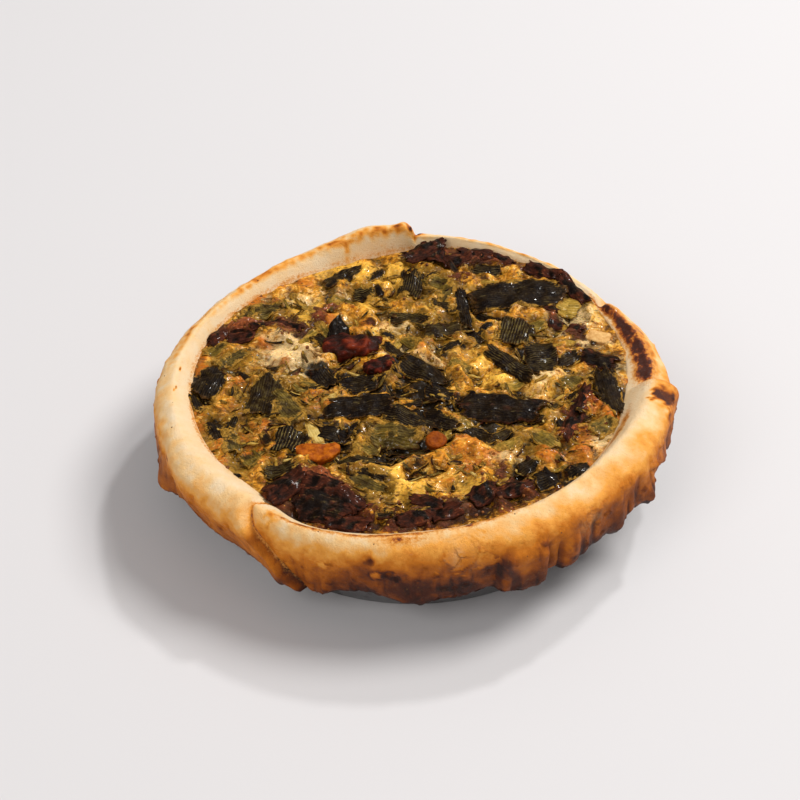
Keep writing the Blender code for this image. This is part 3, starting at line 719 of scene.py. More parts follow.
turned_outwards(crust)
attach(crust, "root")
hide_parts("crust")
print("crust triangles:", triangles(crust))

# %% [markdown]
# The filling is egg custard full of leaves.  It rose and fell again while it baked, so its top has broad
# mounds and hollows.  They are the same as in the solid filling: the top climbs from the middle to the
# crust, and a few bells of the right size are added to it where the tart has them.

# %% Broad shape of the filling
FILLING_CENTRE_HEIGHT = 36.5
LUMP_SCALE = 8.5
LUMP_HEIGHT = 2.4
# Mounds and hollows of the baked custard: x, y, radius, height.
MOUNDS = (
    (-34, -49, 12, 2.6), (22, -57, 13, 1.6), (-12, -46, 8, 1.6), (50, -40, 10, 1.4), (-8, 9, 9, 1.5),
    (12, 64, 14, 1.8), (42, 52, 14, 1.4), (-48, 24, 14, 1.0), (62, -8, 9, 1.2), (-10, -31, 6, -2.2),
    (24, 2, 7, -1.4), (-62, -24, 8, -1.4), (-22, 20, 12, -1.2),
)


def filling_base(x, y):
    """Height of the filling's top without its finer relief, the same as the solid's."""
    angle = np.degrees(np.arctan2(y, x))
    share = np.minimum(np.hypot(x, y) / around(1, angle), 1.0)
    height = FILLING_CENTRE_HEIGHT + (around(2, angle) - FILLING_CENTRE_HEIGHT) * share ** 2
    free = 1.0 - share ** 10
    flat = np.stack([x, y, np.zeros_like(x)], -1)
    height = height + free * LUMP_HEIGHT * clouds(flat, LUMP_SCALE)
    for mound_x, mound_y, radius, rise in MOUNDS:
        height = height + free * rise * np.exp(-((x - mound_x) ** 2 + (y - mound_y) ** 2) / radius ** 2)
    return height


print("filling in the middle:", round(float(filling_base(np.zeros(1), np.zeros(1))[0]), 1), "mm high")

# %% [markdown]
# On food, things lie where they fell, and the eye knows a tart by where its dark and light parts are.  So
# the leaves, browned spots and slices are placed where the camera sees them: across and down the picture,
# which is 800 pixels wide.  A line from the camera through that point meets the top of the filling, and
# that gives the place on the tart in millimetres.  The top isn't level, so the line is followed a few times
# to the height that was found before.

# %% From the picture to the tart
PICTURE_WIDTH = 800
VIEW_HEIGHT = 37.5


@lru_cache(maxsize=None)
def seen_at(across, down):
    """Place on the filling, in mm, that the camera sees so far across and down the picture."""
    pixels = CAMERA_LENS / 36.0 * PICTURE_WIDTH
    side = (across - PICTURE_WIDTH / 2) / pixels
    up = (PICTURE_WIDTH / 2 - down) / pixels
    level, steep = math.cos(CAMERA_ELEVATION), math.sin(CAMERA_ELEVATION)
    eye = camera.location / MM
    height = VIEW_HEIGHT
    for _ in range(4):
        reach = (height - eye.z) / (up * level - steep)
        x, y = eye.x + side * reach, eye.y + (level + up * steep) * reach
        height = float(filling_base(np.array([x]), np.array([y]))[0])
    return x, y


print("the middle of the picture lies at", [round(v, 1) for v in seen_at(400, 400)], "mm")

# %% [markdown]
# The leaves are named first, because the custard has to know where they lie: it climbs a little at their
# edges, takes their olive tint there and gets painted shade beside them.  A leaf has the two ends of its
# middle line, as the camera sees them, its width in mm and its looks: how pointed it is, how high it lies,
# how it arches, curls, rises and bends, how dark (0) or pale (1), how scorched and how ribbed it is, and how
# much custard clings to it.

# %% Large leaves, one for each solid leaf
LEAF_LOOKS = dict(tip=0.3, lift=0.8, arch=0.3, curl=0.0, rise=0.0, lean=0.0, slant=0.1, bend=0.0, drape=0.85,
                  tone=0.10, scorch=0.15, ribs=0.3, spread=1.0, film=0.15)
LARGE_LEAVES = {
    "leaf_back": (475, 297, 562, 294, 16,
        dict(tip=0.2, lift=1.3, curl=-0.1, tone=0.10, ribs=0.15, film=0.36)),
    "leaf_front": (459, 411, 541, 413, 13,
        dict(tip=0.35, lift=1.5, arch=0.7, tone=0.05, ribs=0.1, scorch=0.45)),
    "leaf_centre": (326, 410, 392, 404, 11,
        dict(tip=0.3, lift=1.0, arch=0.5, tone=0.04, ribs=0.1, film=0.05)),
    "leaf_middle": (404, 362, 446, 386, 10, dict(tip=0.4, lift=0.8, arch=0.5, tone=0.05, ribs=0.3)),
    "leaf_ribbed": (526, 362, 555, 358, 17, dict(tip=0.0, lift=0.8, tone=0.06, ribs=0.9, film=0.05)),
    "leaf_square": (519, 323, 512, 345, 13, dict(tip=0.0, lift=0.7, tone=0.22, ribs=1.2, spread=0.8)),
    "leaf_rolled": (490, 354, 531, 378, 8,
        dict(tip=0.4, lift=1.0, arch=1.3, tone=0.10, ribs=0.8, scorch=0.3)),
    "leaf_strip": (459, 290, 467, 326, 5.0, dict(tip=0.3, lift=1.0, arch=0.4, tone=0.05, ribs=0.15)),
    "leaf_back_left": (414, 272, 407, 300, 9, dict(tip=0.2, lift=0.8, tone=0.12, ribs=0.8)),
    "leaf_burnt": (405, 262, 444, 248, 9,
        dict(tip=0.5, lift=2.2, arch=0.8, curl=0.5, ribs=0.0, scorch=0.9, film=0.0)),
    "leaf_slanted": (324, 284, 360, 269, 7, dict(tip=0.5, lift=0.7, tone=0.08, ribs=0.7)),
    "leaf_pointed": (337, 350, 340, 323, 8.0,
        dict(tip=1.0, lift=2.0, rise=0.34, tone=0.0, ribs=0.1, film=0.0)),
    "leaf_left": (201, 397, 217, 371, 11, dict(tip=0.2, lift=0.8, arch=0.5, tone=0.05, ribs=0.3)),
    "leaf_left_middle": (257, 417, 271, 377, 12, dict(tip=0.3, lift=0.8, tone=0.22, ribs=0.4, film=0.3)),
    "leaf_striped": (285, 453, 294, 431, 11,
        dict(tip=0.0, lift=0.8, tone=0.10, ribs=1.6, spread=0.75, film=0.0)),
    "leaf_framed": (265, 472, 298, 465, 6.5, dict(tip=0.0, lift=0.7, tone=0.20, ribs=0.9)),
    "leaf_right": (603, 368, 620, 416, 9, dict(tip=0.4, lift=0.8, arch=0.5, bend=0.6, tone=0.16, ribs=0.2)),
}

print("large leaves:", len(LARGE_LEAVES))

# %% [markdown]
# The middle leaves come in three kinds: dark ones from the outside of the leek, olive ones from its inside,
# and burnt ones that stood up and charred.  Each has its own place.  A kind has its own looks, and a row
# names only what is different about its leaf.

# %% Middle leaves, by kind
MIDDLE_LEAVES = {
    "dark_leaves": (dict(tone=0.08, lift=0.4, film=0.10), (
        (354, 296, 375, 291, 6, dict(ribs=1.2, tone=0.15)), (366, 280, 384, 270, 4, {}),
        (387, 316, 429, 319, 7, dict(tone=0.2, ribs=1.0)), (386, 346, 402, 356, 5, dict(lift=0.9)),
        (340, 385, 376, 379, 9, dict(tone=0.0)), (317, 368, 332, 384, 8, dict(tone=0.0)),
        (193, 395, 202, 414, 4, dict(tone=0.0)), (211, 422, 222, 440, 7, {}), (229, 432, 235, 417, 4, {}),
        (320, 430, 347, 437, 8, dict(tone=0.0)), (386, 410, 434, 427, 10, dict(ribs=0.8)),
        (337, 463, 377, 459, 5, dict(ribs=1.2, tone=0.15)), (474, 267, 500, 271, 8, dict(ribs=0.8)),
        (466, 328, 482, 342, 5, {}), (424, 331, 461, 327, 9, dict(tone=0.28)),
        (553, 366, 578, 353, 6, dict(tone=0.15)), (476, 314, 499, 319, 3, {}), (569, 398, 588, 389, 4, {}),
        (464, 428, 492, 437, 6, {}), (485, 441, 512, 429, 4, dict(tone=0.2)), (520, 471, 539, 461, 6, {}),
        (536, 483, 558, 477, 8, dict(tone=0.0)), (567, 475, 589, 467, 6, dict(tone=0.0)),
        (424, 417, 459, 425, 8, {}), (428, 386, 454, 397, 8, dict(tone=0.0)), (313, 337, 331, 346, 4, {}),
        (408, 372, 436, 371, 7, {}), (250, 500, 263, 507, 3, {}), (233, 475, 240, 479, 3, {}),
        (360, 470, 384, 478, 4, {}), (478, 335, 492, 322, 3, {}), (444, 350, 462, 340, 4, {}),
        (300, 392, 322, 384, 4, dict(tone=0.2)), (506, 412, 540, 418, 6, dict(tone=0.0)),
        (560, 420, 570, 440, 4, {}), (432, 300, 452, 310, 5, dict(tone=0.2)), (486, 308, 510, 312, 3, {}),
    )),
    "olive_leaves": (dict(tone=0.5, lift=0.4, film=0.35, ribs=0.5), (
        (240, 316, 280, 306, 8, dict(tone=0.42)), (286, 373, 323, 387, 5, dict(ribs=1.2)),
        (270, 393, 299, 423, 12, dict(tone=0.46, scorch=0.35)), (309, 422, 321, 447, 4, dict(tone=1.0)),
        (369, 428, 422, 438, 10, dict(tone=0.46, scorch=0.45)), (350, 476, 385, 492, 8, dict(tone=0.4)),
        (440, 301, 453, 284, 6, {}), (424, 278, 451, 284, 7, {}),
        (557, 306, 580, 309, 10, dict(tone=0.74, film=0.45)),
        (204, 354, 236, 344, 6, {}), (214, 366, 246, 351, 6, dict(tone=0.45)), (593, 432, 614, 420, 8, {}),
        (551, 348, 575, 342, 3, dict(tone=0.8)), (530, 430, 556, 446, 7, dict(tone=0.6)),
        (495, 452, 520, 440, 6, dict(tone=0.7)), (340, 350, 300, 300, 4, dict(tone=0.6)),
        (232, 452, 226, 428, 8, dict(tone=0.4)), (246, 456, 262, 470, 6, dict(tone=0.5)),
        (474, 300, 502, 290, 5, dict(tone=0.8, ribs=1.3)), (352, 446, 378, 452, 7, dict(tone=0.55)),
        (404, 338, 422, 346, 6, dict(tone=0.55)), (500, 388, 524, 380, 5, dict(tone=0.7)),
        (452, 360, 470, 372, 6, dict(tone=0.6)), (560, 385, 582, 378, 6, dict(tone=0.5)),
        (330, 300, 352, 306, 6, dict(tone=0.6)), (520, 330, 548, 322, 5, dict(tone=0.6)),
        (300, 345, 316, 330, 4, dict(tone=0.7)), (455, 415, 470, 428, 5, dict(tone=0.6)),
        (340, 395, 322, 402, 3, dict(tone=1.0)), (436, 436, 452, 432, 4, dict(tone=0.7)),
        (388, 352, 402, 336, 4, dict(tone=0.7)), (430, 395, 450, 398, 4, dict(tone=0.8, scorch=0.3)),
    )),
    "burnt_leaves": (dict(tone=0.05, scorch=0.95, lift=0.5, curl=0.2, arch=0.5, ribs=0.0, film=0.0), (
        (229, 339, 255, 333, 8, {}), (583, 353, 615, 365, 9, dict(scorch=0.6)),
        (587, 391, 564, 438, 6, dict(scorch=0.9)), (444, 262, 471, 256, 7, {}), (458, 253, 494, 258, 7, {}),
        (497, 256, 513, 265, 5, {}), (429, 246, 437, 264, 8, dict(lift=1.4)), (527, 267, 561, 277, 7, {}),
        (561, 279, 588, 305, 6, dict(scorch=0.9)), (302, 331, 279, 323, 4, {}), (268, 500, 302, 476, 11, {}),
        (298, 505, 348, 514, 13, dict(scorch=0.6)), (303, 480, 342, 492, 9, {}), (328, 521, 368, 525, 7, {}),
        (338, 494, 362, 514, 9, dict(scorch=1.0)), (398, 521, 431, 516, 7, {}), (430, 516, 462, 508, 7, {}),
        (470, 501, 498, 488, 8, dict(scorch=0.9)), (494, 493, 530, 485, 7, dict(scorch=1.0)),
        (210, 345, 225, 332, 5, {}), (250, 328, 282, 322, 4, {}), (440, 508, 412, 498, 6, {}),
        (545, 306, 558, 312, 4, {}), (550, 322, 563, 326, 5, {}), (570, 326, 582, 331, 4, {}),
    )),
}


def leaf_lines():
    """Ends in mm and half width of every named leaf."""
    rows = list(LARGE_LEAVES.values())
    for _, kind in MIDDLE_LEAVES.values():
        rows += kind
    return [(seen_at(*row[0:2]), seen_at(*row[2:4]), row[4] / 2) for row in rows]


print("middle leaves:", sum(len(rows) for _, rows in MIDDLE_LEAVES.values()))

# %% [markdown]
# The custard's skin is craggy: lumps as large as a pea, torn crests and fine ridges.  A square grid of
# points is pressed into a round one, which keeps the points evenly spread right up to the edge, and every
# point is lifted by the same mounds as in the solid filling plus finer noise.

# %% Custard surface
FILLING_POINTS = 290
FILLING_OVERLAP = 0.75


def ridged(points, size, seed):
    """Sharp crests from 0 to 1, like the torn skin of a custard."""
    return 1.0 - np.abs(clouds(points, size, seed)) * 2.4


# Crests and dips that the camera sees: from and to across and down the picture, half width, height.
RIDGES = (
    (263, 500, 303, 473, 3.5, 2.2), (303, 473, 335, 483, 3.5, 2.0), (335, 485, 365, 512, 3.5, 1.4),
    (212, 338, 245, 325, 3.0, 1.8), (245, 325, 303, 330, 2.6, 1.8), (318, 318, 330, 308, 2.4, 1.6),
    (330, 308, 352, 311, 2.2, 1.2), (422, 258, 436, 243, 3.5, 2.6), (440, 254, 496, 259, 3.0, 2.2),
    (528, 268, 560, 276, 3.0, 2.0), (562, 279, 588, 303, 2.8, 2.0), (587, 392, 564, 437, 2.6, 2.0),
    (592, 402, 612, 412, 3.0, 1.2), (440, 445, 485, 452, 3.0, 1.2), (485, 452, 483, 480, 3.0, 1.4),
    (430, 470, 440, 448, 3.0, 1.2), (330, 406, 388, 398, 3.5, 1.4), (458, 396, 540, 408, 4.0, 1.8),
    (383, 455, 420, 450, 4.5, -2.8), (425, 402, 455, 398, 4.0, -1.8), (345, 380, 375, 384, 4.0, -1.6),
    (316, 372, 330, 382, 3.0, -1.6), (322, 432, 348, 438, 3.5, -1.6), (466, 432, 505, 438, 3.0, -1.4),
)


def ridge_relief(x, y):
    """Height of the named crests and dips, each along its own short line."""
    total = np.zeros_like(x)
    for across_a, down_a, across_b, down_b, half_width, rise in RIDGES:
        (ax, ay), (bx, by) = seen_at(across_a, down_a), seen_at(across_b, down_b)
        length = math.hypot(bx - ax, by - ay) ** 2
        share = np.clip(((x - ax) * (bx - ax) + (y - ay) * (by - ay)) / length, 0.0, 1.0)
        distance = np.hypot(x - ax - share * (bx - ax), y - ay - share * (by - ay))
        total = total + rise * np.exp(-(distance / half_width) ** 2)
    return total


def filling_relief(x, y):
    """Finer relief of the custard: lumps, torn crests and grain."""
    flat = np.stack([x, y, np.zeros_like(x)], -1)
    warp = np.stack([clouds(flat, 6.0, 50.0), clouds(flat, 6.0, 60.0), np.zeros_like(x)], -1)
    bent = flat + 2.2 * warp
    lumps = 2.9 * clouds(bent, 6.8, 4.0) + 0.7 * clouds(bent, 3.0, 8.0)
    crests = 0.75 * ridged(bent, 4.6, 13.0) + 0.16 * ridged(bent, 1.9, 21.0)
    return lumps + crests - 0.85 + 0.08 * clouds(flat, 0.9, 33.0) + ridge_relief(x, y)


def beside_leaves(x, y):
    """Distance in mm from the nearest named leaf's edge, negative under the leaf."""
    nearest = np.full(x.shape, 99.0)
    for (ax, ay), (bx, by), half_width in leaf_lines():
        length = math.hypot(bx - ax, by - ay) ** 2
        share = np.clip(((x - ax) * (bx - ax) + (y - ay) * (by - ay)) / length, 0.1, 0.9)
        distance = np.hypot(x - ax - share * (bx - ax), y - ay - share * (by - ay)) - half_width
        nearest = np.minimum(nearest, distance)
    return nearest


def edge_share(x, y):
    """Distance from the middle as a share of the filling's radius there."""
    return np.hypot(x, y) / around(1, np.degrees(np.arctan2(y, x)))


def filling_height(x, y):
    """Height of the finished custard surface."""
    near_rim = ramp(edge_share(x, y), 0.93, 1.0)
    uneven = clouds(np.stack([x, y, np.zeros_like(x)], -1), 3.6, 44.0)
    lip = (0.35 + 1.5 * uneven) * np.exp(-((beside_leaves(x, y) - 0.2) / 1.3) ** 2)
    return filling_base(x, y) + filling_relief(x, y) * (1.0 - 0.75 * near_rim) + lip * (1.0 - near_rim)


line = np.linspace(-1.0, 1.0, FILLING_POINTS)
grid_a, grid_b = np.meshgrid(line, line, indexing="ij")
steep = np.abs(grid_a) > np.abs(grid_b)
radius_share = np.where(steep, np.abs(grid_a), np.abs(grid_b))
safe_a = np.where(grid_a == 0, 1e-9, grid_a)
safe_b = np.where(grid_b == 0, 1e-9, grid_b)
quarter = math.pi / 4
grid_turn = np.where(
    steep,
    quarter * grid_b / safe_a + np.where(grid_a < 0, math.pi, 0.0),
    math.pi / 2 - quarter * grid_a / safe_b + np.where(grid_b < 0, math.pi, 0.0),
)
grid_reach = (around(1, np.degrees(grid_turn)) + FILLING_OVERLAP) * radius_share
fx = grid_reach * np.cos(grid_turn)
fy = grid_reach * np.sin(grid_turn)
fz = filling_height(fx, fy)
print("custard points:", fx.size, "height in mm:", fz.min().round(1), "to", fz.max().round(1))

# %% [markdown]
# Colour follows the shape.  High crests caught the heat and went brown, and spinach juice tinted the
# custard olive in places and beside the leaves.  The hollows get painted shade, nearly black, and so does
# the custard right beside the leaves; the relief's height is painted too, for painted shade in the low
# places and painted light on the crests.  On this tart each part has its own place: a burnt mound at the
# front left, a burnt rim at the front and back, clear yellow at the back and front, cream at the left.
# They are placed where the camera sees them, and the masks are painted on the custard's points.

# %% Colours painted on the custard
# Each row: across and down the picture, half width and half depth in mm, strength.
BURNT_PATCHES = (
    (300, 500, 14, 12, 1.0), (325, 506, 12, 10, 1.0), (345, 520, 10, 8, 0.95), (284, 492, 9, 8, 0.95),
    (312, 483, 10, 7, 0.95), (366, 526, 8, 5, 0.8), (400, 522, 13, 5, 0.9), (440, 517, 13, 6, 0.95),
    (470, 508, 10, 6, 0.9), (505, 498, 9, 6, 0.7), (420, 504, 8, 6, 0.6), (430, 252, 10, 7, 1.0),
    (465, 257, 10, 6, 0.9), (487, 258, 9, 5, 0.9), (510, 263, 7, 5, 0.7), (545, 272, 11, 5, 0.75),
    (574, 290, 8, 8, 0.7), (213, 339, 5, 8, 0.6), (228, 331, 9, 6, 0.75), (246, 327, 8, 5, 0.7),
    (283, 325, 9, 5, 0.8), (302, 331, 6, 5, 0.75), (318, 315, 4, 7, 0.75), (328, 310, 5, 5, 0.65),
    (592, 352, 7, 6, 0.75), (606, 360, 6, 7, 0.65), (578, 410, 4, 11, 0.8), (567, 428, 4, 9, 0.75),
    (587, 394, 5, 5, 0.7), (551, 309, 4, 4, 0.75), (557, 323, 5, 5, 0.75), (577, 329, 5, 5, 0.8),
    (548, 480, 7, 6, 0.9), (506, 478, 5, 7, 0.75), (532, 495, 9, 5, 0.6), (576, 470, 7, 4, 0.8),
    (372, 322, 3, 3, 0.6), (460, 277, 6, 4, 0.5), (395, 511, 9, 5, 0.6), (357, 500, 6, 5, 0.6),
)
ORANGE_PATCHES = (
    (240, 382, 5, 5, 0.7), (265, 345, 6, 5, 0.9), (281, 363, 4, 4, 0.7), (250, 440, 12, 13, 0.75),
    (267, 456, 10, 5, 0.6), (470, 464, 11, 8, 0.75), (448, 480, 8, 6, 0.6), (472, 440, 10, 9, 0.7),
    (600, 405, 6, 11, 1.0), (604, 420, 5, 9, 0.8), (565, 452, 11, 13, 0.8), (582, 436, 6, 7, 0.7),
    (543, 452, 9, 9, 0.5), (582, 384, 7, 9, 0.6), (560, 360, 6, 7, 0.5), (474, 302, 7, 7, 0.7),
    (460, 272, 7, 6, 0.6), (422, 340, 11, 8, 0.6), (372, 322, 10, 6, 0.6), (306, 396, 9, 6, 0.7),
    (322, 402, 7, 6, 0.7), (236, 402, 8, 9, 0.5), (199, 425, 4, 9, 0.6), (540, 350, 7, 5, 0.5),
    (622, 453, 7, 5, 0.9), (325, 320, 4, 5, 1.0), (415, 412, 9, 4, 0.7), (345, 507, 8, 6, 0.6),
    (212, 345, 6, 9, 0.6), (200, 365, 4, 9, 0.6), (268, 303, 12, 4, 0.6), (310, 285, 12, 4, 0.6),
    (440, 528, 30, 2.5, 0.8), (350, 530, 20, 2.5, 0.8), (590, 478, 9, 3, 0.8), (455, 400, 5, 5, 0.5),
    (395, 377, 5, 4, 0.5), (510, 330, 8, 4, 0.5), (535, 392, 7, 7, 0.4), (500, 462, 8, 7, 0.5),
)
YELLOW_PATCHES = (
    (350, 272, 15, 9, 1.0), (395, 277, 13, 9, 1.0), (418, 292, 9, 9, 0.6), (390, 481, 15, 10, 1.0),
    (412, 492, 11, 8, 0.9), (375, 472, 12, 6, 0.6), (500, 378, 14, 8, 0.7), (545, 388, 10, 8, 0.7),
    (562, 372, 8, 7, 0.6), (430, 315, 12, 6, 0.5), (395, 330, 9, 7, 0.8), (480, 320, 8, 7, 0.5),
    (455, 348, 12, 7, 0.6), (230, 472, 7, 11, 0.8), (218, 440, 6, 12, 0.6), (304, 306, 11, 8, 0.9),
    (300, 318, 9, 7, 0.9), (480, 360, 12, 6, 0.6), (250, 365, 8, 7, 0.5), (478, 292, 9, 7, 0.6),
    (590, 312, 8, 9, 0.7), (470, 485, 9, 7, 0.8), (520, 445, 10, 6, 0.5), (365, 300, 9, 6, 0.7),
)
CREAM_PATCHES = (
    (290, 351, 12, 13, 1.0), (304, 364, 9, 9, 1.0), (279, 341, 9, 7, 0.8), (571, 318, 10, 10, 1.0),
    (300, 298, 10, 6, 0.6), (402, 350, 7, 6, 0.9), (392, 326, 9, 6, 0.7), (486, 430, 8, 7, 0.8),
    (497, 420, 7, 6, 0.6), (530, 400, 10, 7, 0.6), (541, 374, 9, 8, 0.7), (603, 440, 8, 8, 0.7),
    (505, 457, 9, 7, 0.6), (326, 436, 5, 8, 0.9), (432, 356, 8, 6, 0.6), (510, 303, 10, 5, 0.8),
    (450, 292, 7, 7, 0.5), (462, 506, 6, 3, 0.6), (334, 402, 8, 5, 0.6), (355, 410, 6, 4, 0.4),
    (595, 345, 12, 5, 0.6), (620, 365, 5, 9, 0.6), (330, 292, 10, 5, 0.4), (460, 330, 6, 6, 0.4),
)
GREEN_PATCHES = (
    (256, 311, 13, 8, 0.95), (235, 371, 13, 11, 0.8), (225, 452, 10, 15, 0.95), (243, 438, 9, 11, 0.6),
    (262, 402, 15, 15, 0.95), (300, 410, 13, 13, 0.9), (292, 383, 11, 8, 0.8), (440, 281, 10, 7, 0.8),
    (440, 330, 15, 11, 1.0), (460, 320, 9, 9, 0.7), (395, 436, 17, 8, 1.0), (350, 452, 11, 8, 0.8),
    (505, 432, 13, 9, 0.7), (540, 440, 15, 8, 0.7), (560, 414, 11, 9, 0.7), (430, 428, 11, 9, 0.8),
    (552, 332, 10, 8, 0.7), (568, 308, 10, 8, 1.0), (330, 466, 10, 7, 0.6), (370, 486, 9, 9, 0.9),
    (452, 441, 10, 8, 0.6), (605, 426, 9, 9, 0.7), (350, 372, 14, 7, 0.8), (480, 400, 16, 8, 0.6),
    (285, 470, 14, 8, 0.6), (410, 372, 12, 9, 0.8), (522, 366, 7, 7, 0.7), (205, 400, 7, 14, 0.8),
    (400, 300, 12, 6, 0.5), (605, 385, 9, 12, 0.7), (360, 288, 12, 6, 0.5), (515, 470, 9, 7, 0.6),
)
# Hollows of painted shade, nearly black, in deep dips and in the gaps between leaves.
SHADED_HOLLOWS = (
    (403, 452, 12, 8, 1.0), (385, 456, 7, 7, 0.9), (436, 400, 10, 9, 1.0), (425, 384, 10, 9, 0.9),
    (355, 386, 14, 6, 0.9), (325, 375, 7, 8, 0.95), (336, 432, 10, 7, 0.85), (430, 426, 10, 7, 0.8),
    (482, 433, 13, 5, 0.7), (312, 338, 6, 5, 0.7), (206, 384, 7, 8, 0.7), (330, 392, 9, 5, 0.6),
    (500, 425, 14, 4, 0.8), (520, 480, 5, 5, 0.8), (546, 482, 7, 6, 0.8), (448, 345, 8, 6, 0.5),
    (520, 345, 9, 5, 0.6), (610, 400, 7, 10, 0.6), (275, 412, 8, 6, 0.5), (395, 362, 8, 5, 0.7),
)


def spots(x, y, places):
    """Strength of the strongest named patch at each place of the filling."""
    total = np.zeros_like(x)
    for across, down, half_width, half_depth, strength in places:
        spot_x, spot_y = seen_at(across, down)
        distance = ((x - spot_x) / half_width) ** 2 + ((y - spot_y) / half_depth) ** 2
        total = np.maximum(total, strength * np.exp(-distance))
    return total


flat = np.stack([fx, fy, np.zeros_like(fx)], -1)
solid_place = np.stack([fx, fy, 2.0 * fz], -1)
crest = filling_relief(fx, fy)
middle = clouds(solid_place, 4.2, 75.0)
fine = clouds(solid_place, 1.5, 80.0)
# Closeness to the leaves: it gives the custard there the leaves' olive tint and painted shade.
juice = np.exp(-np.maximum(beside_leaves(fx, fy), 0.0) / 1.6)
custard_masks = {
    "burnt": 1.15 * spots(fx, fy, BURNT_PATCHES) + 0.10 * crest + 0.35 * middle + 0.2 * fine,
    "orange": (0.24 * ramp(edge_share(fx, fy), 0.95, 0.985) + 0.95 * spots(fx, fy, ORANGE_PATCHES)
               + 0.14 * crest + 0.35 * middle + 0.2 * fine),
    "yellow": 0.95 * spots(fx, fy, YELLOW_PATCHES) + 0.30 * middle + 0.2 * fine,
    "cream": 0.95 * spots(fx, fy, CREAM_PATCHES) + 0.32 * clouds(flat, 3.6, 90.0) + 0.2 * fine,
    "green": (0.95 * spots(fx, fy, GREEN_PATCHES) - 0.14 * crest + 0.35 * clouds(flat, 3.8, 95.0)
              + 0.2 * fine + 0.30 * juice),
    # crest is the relief's height, for painted shade and light; dark is painted shade in hollows and by
    # leaves.
    "crest": 0.5 + 0.26 * crest,
    "dark": 0.95 * spots(fx, fy, SHADED_HOLLOWS) - 0.14 * crest + 0.3 * clouds(flat, 3.0, 99.0) + 0.16 * juice,
}
custard_masks = {name: np.clip(values, 0.0, 1.0) for name, values in custard_masks.items()}
print({name: round(float(values.mean()), 2) for name, values in custard_masks.items()})

# %% [markdown]
# Under the top the filling is a plain plug down to the pastry floor, so the grid's rim is joined to a
# smaller ring below.  The top reaches a little into the crust, as custard does that has run against it.

# %% The custard's mesh
n = FILLING_POINTS
filling_vertices = np.stack([fx, fy, fz], -1).reshape(-1, 3).tolist()
filling_faces = []
for i in range(n - 1):
    for j in range(n - 1):
        a = i * n + j
        filling_faces.append((a, a + n, a + n + 1, a + 1))
border = [i * n for i in range(n - 1)] + [(n - 1) * n + j for j in range(n - 1)]
border += [i * n + n - 1 for i in range(n - 1, 0, -1)] + [j for j in range(n - 1, 0, -1)]
bottom = len(filling_vertices)
for k in border:
    x, y, _ = filling_vertices[k]
    shrink = (FLOOR_RADIUS - GAP) / math.hypot(x, y)
    filling_vertices.append((x * shrink, y * shrink, TIN_WALL + 2 * GAP + FLOOR_THICKNESS))
count = len(border)
for k in range(count):
    after = (k + 1) % count
    filling_faces.append((border[k], border[after], bottom + after, bottom + k))
filling_faces.append(list(range(bottom, bottom + count)))


def with_plug(values):
    """Numbers of the top with plain ones for the plug's lower ring."""
    return np.concatenate([values.ravel(), np.zeros(count)])


print("custard faces:", len(filling_faces))

# %% [markdown]
# Custard is a soft, moist solid.  Its colour is layered as it is in the oven: mustard yellow first, then
# clear yellow, cream and the olive tint of the leaves, then orange browning and burnt crests, whose hollows
# get painted shade, and last painted shade, nearly black, in the hollows and beside the leaves.  Torn edges
# come from noise that is added to each mask before it is cut.  Then the whole colour is made darker in the
# low places and lighter on the crests, as painted shade and light, and broken by random tone.
# It is shiny where it is moist and dull where it is browned, with a fine curd grain in the relief.

# %% Custard finish
custard = Finish("baked custard")
place = custard.place()
flecks = custard.cloud(place, 1.1 * MM, 4.0, 0.7)
curd = custard.cloud(place, 0.5 * MM, 4.0, 0.7)
tone = custard.cloud(place, 5.0 * MM, 6.0, 0.62, 0.8)
shreds = custard.cloud(place, 3.0 * MM, 6.0, 0.66, 1.6)
stretched = custard.add("ShaderNodeMapping", {}, {
    "Vector": place, "Scale": (0.40, 1.0, 0.6), "Rotation": (0.0, 0.0, 0.5),
})
strands = custard.cloud(stretched, 1.2 * MM, 4.0, 0.6, 1.1)
torn = (shreds - 0.5) * 1.5 + (strands - 0.5) * 0.9
masks = {name: custard.painted(name) for name in custard_masks}
colour = custard.ramp(tone + (shreds - 0.5) * 0.6, [
    (0.30, (0.085, 0.034, 0.003)),
    (0.45, (0.36, 0.135, 0.008)),
    (0.57, (0.68, 0.29, 0.021)),
    (0.70, (0.98, 0.58, 0.12)),
])
# Layers over the mustard yellow: mask, where its torn edge starts and ends, strength, dark and light colour.
LAYERS = (
    ("yellow", 0.22, 0.75, 0.85, (0.58, 0.245, 0.008), (0.95, 0.59, 0.10)),
    ("green", 0.24, 0.72, 0.85, (0.070, 0.034, 0.004), (0.36, 0.175, 0.012)),
    ("cream", 0.26, 0.80, 0.9, (0.64, 0.36, 0.085), (0.93, 0.74, 0.42)),
    ("orange", 0.34, 0.85, 0.9, (0.22, 0.042, 0.004), (0.62, 0.190, 0.012)),
)
cuts = {}
for name, low, high, strength, dark, light in LAYERS:
    cuts[name] = custard.between(masks[name] + torn, low, high)
    colour = custard.blend(cuts[name] * strength, colour, custard.blend(tone, dark, light))
dark_strands = custard.between(strands, 0.57, 0.63) * (0.35 + cuts["green"] * 0.45)
colour = custard.blend(dark_strands, colour, (0.050, 0.034, 0.008))
light_strands = custard.between(1.0 - strands, 0.60, 0.68) * 0.5
colour = custard.blend(light_strands, colour, (0.98, 0.66, 0.22))
leaf_bits = custard.between(shreds, 0.61, 0.67)
colour = custard.blend(leaf_bits * 0.85, colour, (0.018, 0.014, 0.006))
burnt_cut = custard.between(masks["burnt"] + torn * 0.8, 0.36, 0.66)
